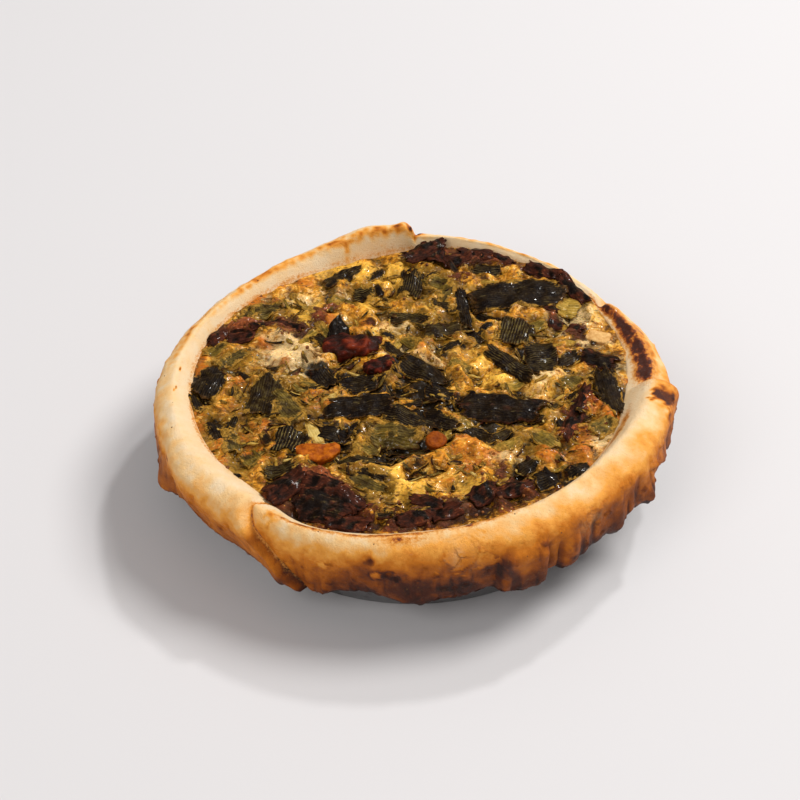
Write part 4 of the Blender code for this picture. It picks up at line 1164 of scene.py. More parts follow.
# Charred colour of the burnt parts, with painted shade making their hollows black and crests redder.
charring_and_hollow_shade = masks["crest"] * 0.45 + strands * 0.5 + flecks * 0.6 - 0.30
burnt_colour = custard.ramp(charring_and_hollow_shade, [
    (0.15, (0.014, 0.004, 0.002)),
    (0.46, (0.044, 0.010, 0.004)),
    (0.66, (0.125, 0.028, 0.010)),
    (0.86, (0.36, 0.088, 0.020)),
])
colour = custard.blend(burnt_cut * 0.95, colour, burnt_colour)
# Painted shade: the hollows and the custard right beside the leaves are made nearly black.
hollow_shade_cut = custard.between(masks["dark"] + torn * 0.7, 0.40, 0.70)
colour = custard.blend(hollow_shade_cut * (0.95 - burnt_cut * 0.7), colour, (0.010, 0.006, 0.003))
# Random tone from the flecks and shreds, plus painted shade in low places and painted light on crests.
tone_and_relief_shade = custard.between(flecks, 0.30, 0.70) * 0.18 + custard.between(shreds, 0.34, 0.62) * 0.36
tone_and_relief_shade = tone_and_relief_shade + masks["crest"] * 0.74 + 0.36
colour = custard.shade(colour, tone_and_relief_shade)
curd_height = curd * 0.12 + flecks * 0.20 + shreds * 0.45 + burnt_cut * (strands + flecks) * 0.7
curd_relief = custard.bump(curd_height, 0.6 * MM)
custard.surface(
    Base_Color=colour,
    Roughness=0.24 + flecks * 0.25 + burnt_cut * 0.1,
    Normal=curd_relief,
    Coat_Weight=custard.between(flecks + (tone - 0.5) * 0.5, 0.55, 0.62) * (1.0 - burnt_cut * 0.3),
    Coat_Roughness=0.07,
    Specular_IOR_Level=0.12,
    Subsurface_Weight=0.18,
    Subsurface_Scale=1.4 * MM,
    Subsurface_Radius=(1.0, 0.5, 0.15),
)
filling = piece_from("baked_filling", filling_vertices, filling_faces, custard.material,
                     {name: with_plug(values) for name, values in custard_masks.items()})
turned_outwards(filling)
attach(filling, "root")
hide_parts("filling")
print("filling triangles:", triangles(filling))

# %% [markdown]
# Leeks and spinach give the tart its look: dark sheets with fine parallel ribs, torn and cut across,
# rolled at the edges where the oven dried them.  One function makes any number of such leaves at once.
# A leaf starts as a flat grid, is cut to its outline, bent, arched across, rolled at the ends and tilted,
# and then laid on the custard.  It is closed by a second face a third of a millimetre below.

# %% Leaf sheets
LEAF_THICKNESS = 0.35
RIB_SPACING = 0.85


def leaf_table(**columns):
    """Sizes and looks of many leaves, each column a number or one number for each leaf."""
    sizes = [np.size(v) for v in columns.values()]
    return {name: np.broadcast_to(np.asarray(v, float), max(sizes)).copy() for name, v in columns.items()}


def leaf_sheets(leaves, cells):
    """Upper faces of the leaves in space, and the numbers painted on them."""
    along, across = cells
    u, v = np.meshgrid(np.linspace(-0.5, 0.5, along + 1), np.linspace(-0.5, 0.5, across + 1), indexing="ij")
    u, v = u[None], v[None]
    leaf = {name: values[:, None, None] for name, values in leaves.items()}
    zero = np.zeros_like(u + leaf["x"])
    seed = leaf["seed"] + zero
    torn = clouds(np.stack([5.0 * u + zero, 1.5 * np.sign(v) + zero, seed], -1), 1.0, 0.5)
    torn = torn + 0.28 * clouds(np.stack([16.0 * u + zero, 3.0 * np.sign(v) + zero, seed], -1), 1.0, 2.5)
    front = np.maximum(2.0 * u, 0.0) ** 1.8
    back = np.maximum(-2.0 * u, 0.0) ** 2.6
    taper = np.maximum(1.0 - leaf["tip"] * front - 0.6 * leaf["tip"] * back, 0.06) * (1.0 + 0.22 * torn)
    py = v * taper * leaf["width"]
    notch = clouds(np.stack([zero + np.sign(u), 4.0 * v + zero, seed], -1), 1.0, 7.5)
    notch = notch + 0.5 * clouds(np.stack([zero + np.sign(u), 14.0 * v + zero, seed], -1), 1.0, 9.5)
    px = u * leaf["length"] * (1.0 + 0.30 * notch * np.abs(2.0 * u) ** 3) + leaf["slant"] * py
    py = py + leaf["bend"] * (4.0 * u ** 2 - 0.5) * leaf["length"] * 0.12
    turn_by = np.radians(leaf["turn"])
    x = leaf["x"] + px * np.cos(turn_by) - py * np.sin(turn_by)
    y = leaf["y"] + px * np.sin(turn_by) + py * np.cos(turn_by)
    ground = filling_base(x, y) + 0.55 * filling_relief(x, y)
    middle = ground.mean(axis=(1, 2), keepdims=True)
    lie = leaf["drape"] * ground + (1.0 - leaf["drape"]) * middle
    arch = leaf["arch"] * (1.0 - 4.0 * v ** 2) * leaf["width"] * 0.25
    curl = leaf["curl"] * (np.abs(2.0 * u) ** 2.5) * leaf["length"] * 0.12 + leaf["rise"] * u * leaf["length"]
    lean = leaf["lean"] * v * leaf["width"]
    ripple = 0.32 * clouds(np.stack([px, py * 1.6, seed], -1), 2.6, 3.5)
    ribs = 0.035 * np.cos(2.0 * math.pi * py / RIB_SPACING) * leaf["ribs"]
    z = lie + 0.7 * leaf["lift"] + arch + curl + lean + ripple + ribs
    edge = np.maximum(np.abs(2.0 * u), np.abs(2.0 * v)) + zero
    patchy = clouds(np.stack([x, y, z], -1), 2.4, 14.0)
    filmed = leaf["film"] > 0.0
    sunk = 1.0 - (z - filling_height(x, y)) / 0.9
    paint = {
        "tone": np.clip(leaf["tone"] + 0.16 * patchy + 0.06 * torn, 0.0, 1.0),
        "scorch": np.clip(leaf["scorch"] * (0.64 + 0.6 * edge ** 6 + 0.8 * patchy), 0.0, 1.0),
        "ribs": leaf["ribs"] + zero,
        "edge": edge * filmed,
        "film": np.clip(leaf["film"] + 0.30 * edge ** 4 + 0.45 * sunk, 0.0, 1.0) * filmed,
        "across": py * leaf["spread"] + zero,
        "along": px + zero,
    }
    return np.stack([x, y, z], -1), paint


def sheet_faces(cells, start, top):
    """Faces of one closed leaf whose upper points begin at start and lower ones at start + top."""
    along, across = cells
    row = across + 1
    faces = []
    for i in range(along):
        for j in range(across):
            a = start + i * row + j
            faces.append((a, a + row, a + row + 1, a + 1))
            faces.append((a + top, a + 1 + top, a + row + 1 + top, a + row + top))
    rim = [i * row for i in range(along)] + [along * row + j for j in range(across)]
    rim += [i * row + across for i in range(along, 0, -1)] + [j for j in range(across, 0, -1)]
    for a, b in zip(rim, rim[1:] + rim[:1]):
        faces.append((start + b, start + a, start + a + top, start + b + top))
    return faces


def leaf_piece(name, leaves, cells, finish):
    """One mesh piece of many closed leaves."""
    upper, paint = leaf_sheets(leaves, cells)
    count, rows, columns, _ = upper.shape
    lower = upper - np.array([0.0, 0.0, LEAF_THICKNESS])
    vertices = np.stack([upper.reshape(count, -1, 3), lower.reshape(count, -1, 3)], 1).reshape(-1, 3)
    top = rows * columns
    faces = []
    for k in range(count):
        faces += sheet_faces(cells, 2 * top * k, top)
    doubled = {label: np.repeat(values.reshape(count, 1, -1), 2, 1) for label, values in paint.items()}
    return turned_outwards(piece_from(name, vertices, faces, finish, doubled))


print("one leaf of 10 by 4 cells has", len(sheet_faces((10, 4), 0, 55)), "faces")

# %% [markdown]
# Cooked leek leaf is almost black green, with lighter lines along its ribs; the inner leaves are olive or
# pale yellow.  Its dry edges are purple brown, and a film of custard clings to parts of it.  The lighter
# lines along the ribs and fibres are partly the leaf's own veins and partly painted sheen, and a painted
# highlight runs along each rim.  The ribs are drawn from the distance across the leaf, so they always run
# along it, and they stand up in the relief, which gives the broken highlights.

# %% Leaf finish
leaf_finish = Finish("cooked leaf")
place = leaf_finish.place()
streaks = leaf_finish.cloud(place, 1.3 * MM, 4.0, 0.7, 0.8)
blotches = leaf_finish.cloud(place, 3.4 * MM, 5.0, 0.65, 0.5)
grain = leaf_finish.cloud(place, 0.4 * MM, 3.0, 0.6)
fibre_place = leaf_finish.add("ShaderNodeCombineXYZ", {}, [
    leaf_finish.painted("along") * 0.08, leaf_finish.painted("across"), leaf_finish.painted("tone") * 9.0,
])
fibres = leaf_finish.cloud(fibre_place, 0.7, 4.0, 0.65, 0.4)
rib_turn = leaf_finish.painted("across") * (2.0 * math.pi / RIB_SPACING) + streaks * 5.0
rib_wave = leaf_finish.add("ShaderNodeMath", {"operation": "SINE"}, [rib_turn])
rib_line = leaf_finish.between(rib_wave, 0.30, 0.95) * leaf_finish.painted("ribs")
rib_line = rib_line * leaf_finish.between(blotches, 0.36, 0.60)
leaf_tone = leaf_finish.painted("tone") + (blotches - 0.5) * 0.5 + (streaks - 0.5) * 0.2
leaf_tone = leaf_tone + (fibres - 0.5) * 0.7
leaf_colour = leaf_finish.ramp(leaf_tone, [
    (0.0, (0.004, 0.0012, 0.0003)),
    (0.22, (0.017, 0.0075, 0.0012)),
    (0.42, (0.055, 0.033, 0.006)),
    (0.62, (0.17, 0.105, 0.012)),
    (0.80, (0.46, 0.27, 0.035)),
    (1.0, (0.66, 0.47, 0.14)),
])
# Lighter lines along ribs and fibres: partly the leaf's own paler veins, partly painted sheen.
rib_and_sheen_colour = leaf_finish.ramp(leaf_tone, [
    (0.0, (0.170, 0.110, 0.034)),
    (0.45, (0.18, 0.15, 0.045)),
    (1.0, (0.84, 0.66, 0.30)),
])
leaf_colour = leaf_finish.blend(rib_line * 0.58, leaf_colour, rib_and_sheen_colour)
pale_fibres_and_sheen = leaf_finish.between(fibres, 0.60, 0.70) * leaf_finish.between(blotches, 0.42, 0.60)
leaf_colour = leaf_finish.blend(pale_fibres_and_sheen * 0.6, leaf_colour, rib_and_sheen_colour)
film = leaf_finish.painted("film") + (blotches - 0.5) * 1.5 + (streaks - 0.5) * 0.8
film = leaf_finish.between(film, 0.42, 0.66)
thick_film = leaf_finish.between(streaks, 0.3, 0.7)
film_colour = leaf_finish.blend(thick_film, (0.10, 0.045, 0.006), (0.52, 0.27, 0.035))
# Painted highlight: a thin lighter brown line along the leaf's rim, where the edge catches the light.
lit_rim_line = leaf_finish.between(leaf_finish.painted("edge") + (streaks - 0.5) * 0.5, 0.90, 1.05) * 0.7
leaf_colour = leaf_finish.blend(lit_rim_line, leaf_colour, (0.13, 0.055, 0.010))
leaf_colour = leaf_finish.blend(film * 0.85, leaf_colour, film_colour)
scorched = leaf_finish.between(leaf_finish.painted("scorch") + (streaks - 0.5) * 0.6, 0.40, 0.75)
scorch_colour = leaf_finish.ramp(fibres * 0.7 + blotches * 0.5 - 0.1, [
    (0.30, (0.010, 0.003, 0.0015)),
    (0.45, (0.028, 0.007, 0.003)),
    (0.60, (0.080, 0.018, 0.007)),
    (0.75, (0.34, 0.092, 0.020)),
])
leaf_colour = leaf_finish.blend(scorched, leaf_colour, scorch_colour)
leaf_height = rib_wave * leaf_finish.painted("ribs") * 0.12 + streaks * 0.7 + fibres * 0.5 + grain * 0.15
leaf_relief = leaf_finish.bump(leaf_height, 0.45 * MM)
leaf_finish.surface(
    Base_Color=leaf_colour,
    Roughness=0.30 + grain * 0.22 + scorched * 0.15,
    Normal=leaf_relief,
    Coat_Weight=leaf_finish.between(streaks + (fibres - 0.5) * 0.6, 0.57, 0.63) * (0.7 - scorched * 0.2),
    Coat_Roughness=0.12,
    Specular_IOR_Level=0.06,
)
print("leaf finish:", len(leaf_finish.tree.nodes), "nodes")

# %% [markdown]
# Each of the larger leaves stands for one of the solid leaves, so it is a piece of its own on a fine grid.
# The table of a leaf's numbers is worked out from the ends of its middle line.

# %% Large leaves
LARGE_LEAF_CELLS = (34, 22)


def leaf_rows(rows):
    """Table of leaves from rows of two seen ends, a width and the leaf's own looks."""
    table = {name: [] for name in ("x", "y", "turn", "length", "width", "seed", *LEAF_LOOKS)}
    for number, (across_a, down_a, across_b, down_b, width, looks) in enumerate(rows):
        (ax, ay), (bx, by) = seen_at(across_a, down_a), seen_at(across_b, down_b)
        row = {
            "x": (ax + bx) / 2, "y": (ay + by) / 2, "turn": math.degrees(math.atan2(by - ay, bx - ax)),
            "length": math.hypot(bx - ax, by - ay), "width": width, "seed": 3.7 * number + 0.1 * across_a,
            **LEAF_LOOKS, **looks,
        }
        for name, values in table.items():
            values.append(row[name])
    return leaf_table(**table)


for name, row in LARGE_LEAVES.items():
    piece = leaf_piece("cooked_" + name, leaf_rows([row]), LARGE_LEAF_CELLS, leaf_finish.material)
    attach(piece, "root")
    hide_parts(name)
print("large leaves laid:", len(LARGE_LEAVES))

# %% [markdown]
# The middle leaves are smaller but still easy to find on this tart.  They are joined to one piece for each
# kind: dark ones, olive ones and burnt ones.

# %% Middle leaves in place
MIDDLE_LEAF_CELLS = (18, 11)
for name, (common, rows) in MIDDLE_LEAVES.items():
    leaves = leaf_rows([(*row[:5], {**common, **row[5]}) for row in rows])
    piece = leaf_piece(name, leaves, MIDDLE_LEAF_CELLS, leaf_finish.material)
    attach(piece, "root")
    print(name, len(rows), "leaves", triangles(piece), "triangles")

# %% [markdown]
# Between them lie hundreds of scraps.  They are scattered with a fixed seed, more of them where the tart is
# green, dark ones also in the hollows of painted shade, so that they deepen it, and few where it is clear
# yellow, cream or burnt.  Each gets its own size, tilt and tone, and many sit half under the custard, so
# that only an edge or a corner shows.

# %% Scattered leaf scraps
SCATTER_REACH = 80.0
TRIES_FOR_EACH = 60
MEAN_FILLING_RADIUS = 76.0


def wanted_dark(x, y):
    """How much dark leaf a place of the filling has, from 0 to 1."""
    # Dark scraps gather in the hollows of painted shade and deepen it.
    rich = 0.30 + 0.5 * spots(x, y, GREEN_PATCHES) + 0.6 * spots(x, y, SHADED_HOLLOWS)
    poor = np.maximum(spots(x, y, YELLOW_PATCHES), spots(x, y, CREAM_PATCHES))
    return rich * (1.0 - 0.7 * poor) * (1.0 - 0.6 * spots(x, y, BURNT_PATCHES))


def wanted_pale(x, y):
    """How much olive and pale leaf a place of the filling has, from 0 to 1."""
    closed = np.maximum(spots(x, y, BURNT_PATCHES), spots(x, y, SHADED_HOLLOWS))
    return (0.45 + 0.4 * spots(x, y, GREEN_PATCHES)) * (1.0 - 0.85 * closed)


def scattered(count, wanted, spacing, margin, seed):
    """Uneven places on the filling, none closer than the spacing, more where more is wanted."""
    draw = np.random.default_rng(seed)
    found = np.full((1, 2), 999.0)
    for x, y in draw.uniform(-SCATTER_REACH, SCATTER_REACH, (TRIES_FOR_EACH * count, 2)):
        chance = draw.uniform()
        if len(found) > count or edge_share(x, y) * MEAN_FILLING_RADIUS > MEAN_FILLING_RADIUS - margin:
            continue
        clear = np.min(np.hypot(*(found - (x, y)).T)) > spacing
        if clear and chance < wanted(np.array([x]), np.array([y]))[0]:
            found = np.vstack([found, (x, y)])
    return found[1:], draw


def scraps(count, wanted, spacing, lengths, widths, tones, lifts, seed):
    """Table of scattered scraps with their own sizes, tilts and shades."""
    places, draw = scattered(count, wanted, spacing, 0.45 * lengths[1], seed)
    size = len(places)
    return leaf_table(
        x=places[:, 0], y=places[:, 1], turn=draw.normal(0.0, 50.0, size),
        length=draw.uniform(*lengths, size), width=draw.uniform(*widths, size),
        tip=draw.uniform(0.0, 0.7, size), lift=draw.uniform(*lifts, size), arch=draw.uniform(-0.3, 1.1, size),
        curl=draw.uniform(-0.4, 0.6, size), rise=draw.normal(0.0, 0.14, size),
        lean=draw.normal(0.0, 0.22, size), slant=draw.normal(0.0, 0.4, size),
        bend=draw.normal(0.0, 0.6, size), drape=draw.uniform(0.5, 0.95, size),
        tone=draw.uniform(*tones, size), scorch=draw.uniform(0.0, 0.6, size),
        ribs=draw.uniform(-0.4, 0.9, size).clip(0.0), spread=draw.uniform(0.8, 1.3, size),
        film=draw.uniform(0.05, 0.5, size), seed=draw.uniform(0.0, 90.0, size),
    )


SCRAP_CELLS = (6, 3)
SCRAPS = {
    "dark_scraps": scraps(130, wanted_dark, 3.6, (4.0, 11.0), (1.5, 4.2), (0.0, 0.3), (-0.4, 0.5), 5),
    "olive_scraps": scraps(120, wanted_pale, 3.8, (5.0, 13.0), (0.9, 2.6), (0.30, 0.70), (-0.6, 0.1), 6),
    "pale_scraps": scraps(70, wanted_pale, 4.6, (4.0, 11.0), (0.7, 1.8), (0.75, 1.0), (-0.4, 0.1), 7),
    "fine_shreds": scraps(330, wanted_dark, 2.0, (2.5, 8.0), (0.5, 1.2), (0.0, 0.5), (-0.2, 0.6), 8),
}
for name, leaves in SCRAPS.items():
    piece = leaf_piece(name, leaves, SCRAP_CELLS, leaf_finish.material)
    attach(piece, "root")
    print(name, len(leaves["x"]), "pieces", triangles(piece), "triangles")

# %% [markdown]
# Five moist pieces of vegetable stand out: a large dried tomato and its chip, an orange slice, a small
# orange coin and a peach-coloured slice.  Each starts as a fine round ball, is squared off to its own
# shape, folded and dented with noise, and laid on the custard.  Balls have no seams, so the pieces are
# closed, and the dents show from every side.

# %% Shape of a moist piece
BALL_SUBDIVISIONS = 5


def round_ball():
    """Points and faces of a fine round ball of radius 1."""
    ball = bmesh.new()
    bmesh.ops.create_icosphere(ball, subdivisions=BALL_SUBDIVISIONS, radius=1.0)
    points = np.array([v.co[:] for v in ball.verts])
    faces = [[v.index for v in f.verts] for f in ball.faces]
    ball.free()
    return points, faces


def moist_lump(name, seen, size, turn_degrees, lift, looks, finish):
    """A rounded piece of vegetable: squareness, dents, folds and a painted rim."""
    points, faces = round_ball()
    power = looks["squareness"]
    reach = (np.abs(points[:, 0]) ** power + np.abs(points[:, 1]) ** power) ** (1.0 / power)
    flat_share = np.abs(points[:, 2])
    body = points / (reach ** looks["edge"] + flat_share ** looks["edge"])[:, None] ** (1.0 / looks["edge"])
    for fold_at, fold_width, fold_depth in looks["folds"]:
        body = body * (1.0 - fold_depth * np.exp(-((body[:, :1] - fold_at) / fold_width) ** 2))
    shape = body * np.array(size) / 2.0
    shape[:, 1] += looks["bow"] * size[1] * (body[:, 0] ** 2 - 0.3)
    dents = clouds(shape, looks["dent_size"], looks["seed"])
    wrinkles = clouds(shape * np.array([1.0, 1.6, 1.0]), looks["dent_size"] * 0.4, looks["seed"] + 5.0)
    outwards = points / np.array(size)
    outwards = outwards / np.linalg.norm(outwards, axis=1, keepdims=True)
    shape = shape + outwards * (looks["dents"] * (dents + 0.45 * wrinkles))[:, None]
    centre_x, centre_y = seen_at(*seen)
    turn_by = math.radians(turn_degrees)
    lean = math.radians(looks["lean"])
    y_leaning = shape[:, 1] * math.cos(lean) - shape[:, 2] * math.sin(lean)
    z = shape[:, 1] * math.sin(lean) + shape[:, 2] * math.cos(lean)
    x = centre_x + shape[:, 0] * math.cos(turn_by) - y_leaning * math.sin(turn_by)
    y = centre_y + shape[:, 0] * math.sin(turn_by) + y_leaning * math.cos(turn_by)
    z = z + float(filling_base(np.array([centre_x]), np.array([centre_y]))[0]) + lift
    rim = np.clip(reach, 0.0, 1.0) ** 4
    # The painted dents give the tomato its painted shade in folds and painted light on ridges.
    paint = {"rim": rim, "dents": np.clip(0.5 + dents + 0.6 * wrinkles, 0.0, 1.0)}
    piece = turned_outwards(piece_from(name, np.stack([x, y, z], -1), faces, finish, paint))
    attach(piece, "root")
    return piece


print("a moist piece has", len(round_ball()[1]), "triangles")

# %% [markdown]
# Dried tomato is deep red and a little moist; its folds get painted shade, almost black, and its ridges a
# lighter red as painted light.  The orange and peach pieces are even in colour, with darker rims where they
# browned.  The tomato's finish reads the painted dents, which carry that shade and light, and the slices'
# the painted rim, so colour and shape agree.

# %% Finishes of the moist pieces
tomato = Finish("dried tomato")
place = tomato.place()
flesh = tomato.cloud(place, 2.2 * MM, 5.0, 0.65, 0.8)
grain = tomato.cloud(place, 0.5 * MM, 3.0, 0.6)
# Painted shade in the folds and dents, and a lighter red on the ridges as painted light.
tomato_colour = tomato.ramp(tomato.painted("dents") * 0.6 + flesh * 0.5, [
    (0.30, (0.014, 0.004, 0.002)),
    (0.50, (0.036, 0.006, 0.002)),
    (0.70, (0.085, 0.009, 0.003)),
    (0.92, (0.20, 0.026, 0.005)),
])
tomato.surface(
    Base_Color=tomato_colour,
    Roughness=0.34 + grain * 0.22,
    Normal=tomato.bump(flesh * 0.6 + grain * 0.25, 0.7 * MM),
    Coat_Weight=tomato.between(flesh + (grain - 0.5) * 0.6, 0.58, 0.64) * 0.35,
    Coat_Roughness=0.14,
    Specular_IOR_Level=0.08,
)


def slice_finish(name, dark, light, rim_colour):
    """Even flesh with a browned rim and soft mottling."""
    finish = Finish(name)
    place = finish.place()
    mottle = finish.cloud(place, 1.8 * MM, 4.0, 0.6)
    grain = finish.cloud(place, 0.4 * MM, 3.0, 0.6)
    colour = finish.blend(finish.between(mottle, 0.3, 0.7), dark, light)
    browned = finish.between(finish.painted("rim") + (mottle - 0.5) * 1.2, 0.62, 1.0)
    colour = finish.blend(browned * 0.8, colour, rim_colour)
    return finish.surface(
        Base_Color=colour,
        Roughness=0.34 + grain * 0.2,
        Normal=finish.bump(mottle * 0.8 + grain * 0.5, 0.45 * MM),
        Specular_IOR_Level=0.08,
    )


SLICE_COLOURS = {
    # dark flesh, light flesh, browned rim
    "orange slice": ((0.24, 0.042, 0.002), (0.54, 0.140, 0.005), (0.085, 0.018, 0.003)),
    "orange coin": ((0.17, 0.030, 0.001), (0.32, 0.070, 0.002), (0.09, 0.018, 0.002)),
    "peach slice": ((0.60, 0.30, 0.085), (0.82, 0.50, 0.19), (0.50, 0.22, 0.04)),
}
orange_finish, coin_finish, pale_finish = (slice_finish(name, *row) for name, row in SLICE_COLOURS.items())
print("finishes of the moist pieces: dried tomato,", ", ".join(SLICE_COLOURS))

# %% [markdown]
# Each piece has its place, its size in millimetres, its turn and how high it lies.  The tomato is folded
# twice and strongly dented, the slices are thinner and smoother, and the coin is almost round.  They sank
# a little before the custard set, so their undersides lie below its top.

# %% Moist pieces in place
TOMATO_LOOKS = dict(squareness=2.6, edge=2.4, folds=((0.1, 0.18, 0.22), (0.62, 0.1, 0.12)), bow=0.12,
                    dent_size=5.0, dents=1.5, lean=6.0, seed=3.0)
CHIP_LOOKS = dict(squareness=2.2, edge=2.2, folds=((0.0, 0.2, 0.15),), bow=0.1,
                  dent_size=3.2, dents=1.1, lean=-8.0, seed=9.0)
SLICE_LOOKS = dict(squareness=2.3, edge=5.0, folds=(), bow=0.28,
                   dent_size=3.2, dents=0.65, lean=8.0, seed=5.0)
COIN_LOOKS = dict(squareness=2.0, edge=6.0, folds=(), bow=0.0,
                  dent_size=2.6, dents=0.30, lean=10.0, seed=7.0)
PALE_LOOKS = dict(squareness=4.0, edge=4.0, folds=(), bow=0.1,
                  dent_size=3.0, dents=0.3, lean=8.0, seed=2.0)
MOIST_PIECES = {
    "red_chunk": ((352, 350), (21.5, 12.0, 7.0), 4, 1.7, TOMATO_LOOKS, tomato.material, "red_piece"),
    "red_chip": ((379, 367), (11.5, 8.5, 4.6), 30, 0.9, CHIP_LOOKS, tomato.material, "red_piece"),
    "orange_slice": ((318, 454), (15.0, 7.6, 3.0), 2, 0.6, SLICE_LOOKS, orange_finish, "orange_piece"),
    "coin_slice": ((436, 443), (7.2, 7.0, 2.8), 0, 0.9, COIN_LOOKS, coin_finish, "orange_piece"),
    "pale_slice": ((598, 337), (9.0, 5.5, 2.0), -20, -0.2, PALE_LOOKS, pale_finish, "pale_piece"),
}
for node, (seen, size, turn_degrees, lift, looks, material, slot) in MOIST_PIECES.items():
    piece = moist_lump("moist_" + node, seen, size, turn_degrees, lift, looks, material)
    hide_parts(node)
print("moist pieces:", len(MOIST_PIECES))

# %% [markdown]
# The tin shows only as a dark band below the crust at the front, but it is seen from all sides when the
# tart is lifted.  It is one thin pressed sheet: flat base, a small rounded corner and a flared wall, whose
# outer and inner faces meet at a plain rim.  The section is turned round the middle as a fine grid, and the
# sheet gets the soft dents and creases of a tin that has been used, less of them at the base, so that it
# still stands flat.

# %% Tin
TIN_SECTIONS = 420
TIN_CORNER = 2.2


def tin_profile(inwards):
    """Radius and height along the sheet, from the middle of the base to the rim, moved inwards by so much."""
    run = [(radius, inwards) for radius in np.linspace(0.6, TIN_BASE_RADIUS - TIN_CORNER - 0.4, 26)]
    bend = TIN_CORNER - inwards
    for k in range(7):
        angle = math.radians(76.0 * k / 6)
        radius = TIN_BASE_RADIUS - TIN_CORNER + bend * math.sin(angle)
        run.append((radius, TIN_CORNER - bend * math.cos(angle)))
    for z in np.linspace(3.4, TIN_HEIGHT - 0.2, 34):
        run.append((tin_radius(z) - inwards, z))
    return np.array(run)


def tin_dents(x, y, z):
    """Soft dents and sharp little creases of the wall, in mm."""
    places = np.stack([x, y, z], -1)
    creases = np.abs(clouds(places * np.array([1.0, 1.0, 0.35]), 5.0, 17.0)) * 1.6
    return 0.16 * clouds(places, 12.0, 3.0) + 0.16 * (0.4 - creases) + 0.05 * clouds(places, 1.6, 9.0)


tin_turns = np.linspace(0.0, 2.0 * math.pi, TIN_SECTIONS, endpoint=False)[:, None]
outside, inside = tin_profile(0.0), tin_profile(TIN_WALL)
sheet = np.concatenate([outside, inside[::-1]])
wall_share = ramp(sheet[:, 1], 2.0, 5.0) * (1.0 - ramp(sheet[:, 1], TIN_HEIGHT - 2.5, TIN_HEIGHT))
x = sheet[:, 0] * np.cos(tin_turns)
y = sheet[:, 0] * np.sin(tin_turns)
z = sheet[:, 1] + 0.0 * tin_turns
dented = sheet[:, 0] - 0.12 * wall_share + tin_dents(x, y, z) * wall_share * 0.8
tin_vertices = np.stack([dented * np.cos(tin_turns), dented * np.sin(tin_turns), z], -1).reshape(-1, 3)
around_sheet = len(sheet)
tin_faces = []
for i in range(TIN_SECTIONS):
    here = i * around_sheet
    there = (i + 1) % TIN_SECTIONS * around_sheet
    tin_faces += [(here + k, there + k, there + k + 1, here + k + 1) for k in range(around_sheet - 1)]
tin_faces.append([i * around_sheet for i in range(TIN_SECTIONS)])
tin_faces.append([i * around_sheet + around_sheet - 1 for i in range(TIN_SECTIONS)])
print("tin points:", len(tin_vertices))

# %% [markdown]
# Thin tinned steel is a soft mirror.  It is never quite clean: fine rubbing marks run round it, and baked-on
# grease has browned it in patches.  The roughness varies with both, so the highlights break up.

# %% Tin finish
metal = Finish("used baking tin")
place = metal.place()
drawn_out = metal.add("ShaderNodeMapping", {}, {"Vector": place, "Scale": (1.0, 1.0, 9.0)})
rubbing = metal.cloud(drawn_out, 3.0 * MM, 4.0, 0.6)
grease = metal.cloud(place, 9.0 * MM, 5.0, 0.65)
greasy = metal.between(grease, 0.48, 0.70)
metal_colour = metal.blend(rubbing, (0.16, 0.152, 0.152), (0.36, 0.35, 0.35))
metal_colour = metal.blend(greasy * 0.7, metal_colour, (0.055, 0.042, 0.036))
metal.surface(
    Base_Color=metal_colour,
    Metallic=1.0,
    Roughness=0.24 + rubbing * 0.16 + greasy * 0.2,
    Normal=metal.bump(rubbing * 0.4 + grease * 0.6, 0.35 * MM),
)
tin = turned_outwards(piece_from("used_tin", tin_vertices, tin_faces, metal.material))
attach(tin, "root")
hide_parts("tin")
print("tin triangles:", triangles(tin))

# %% [markdown]
# Everything baked sheds small bits: browned crumbs of custard on the filling, little bubbles that set
# before they burst, and dark specks on the pastry.  They repeat by the hundred and follow the surface, so
# Geometry Nodes make them: points are spread over the piece with a fixed seed, each gets an uneven ball
# with its own size and turn, and the result is turned into one plain mesh.

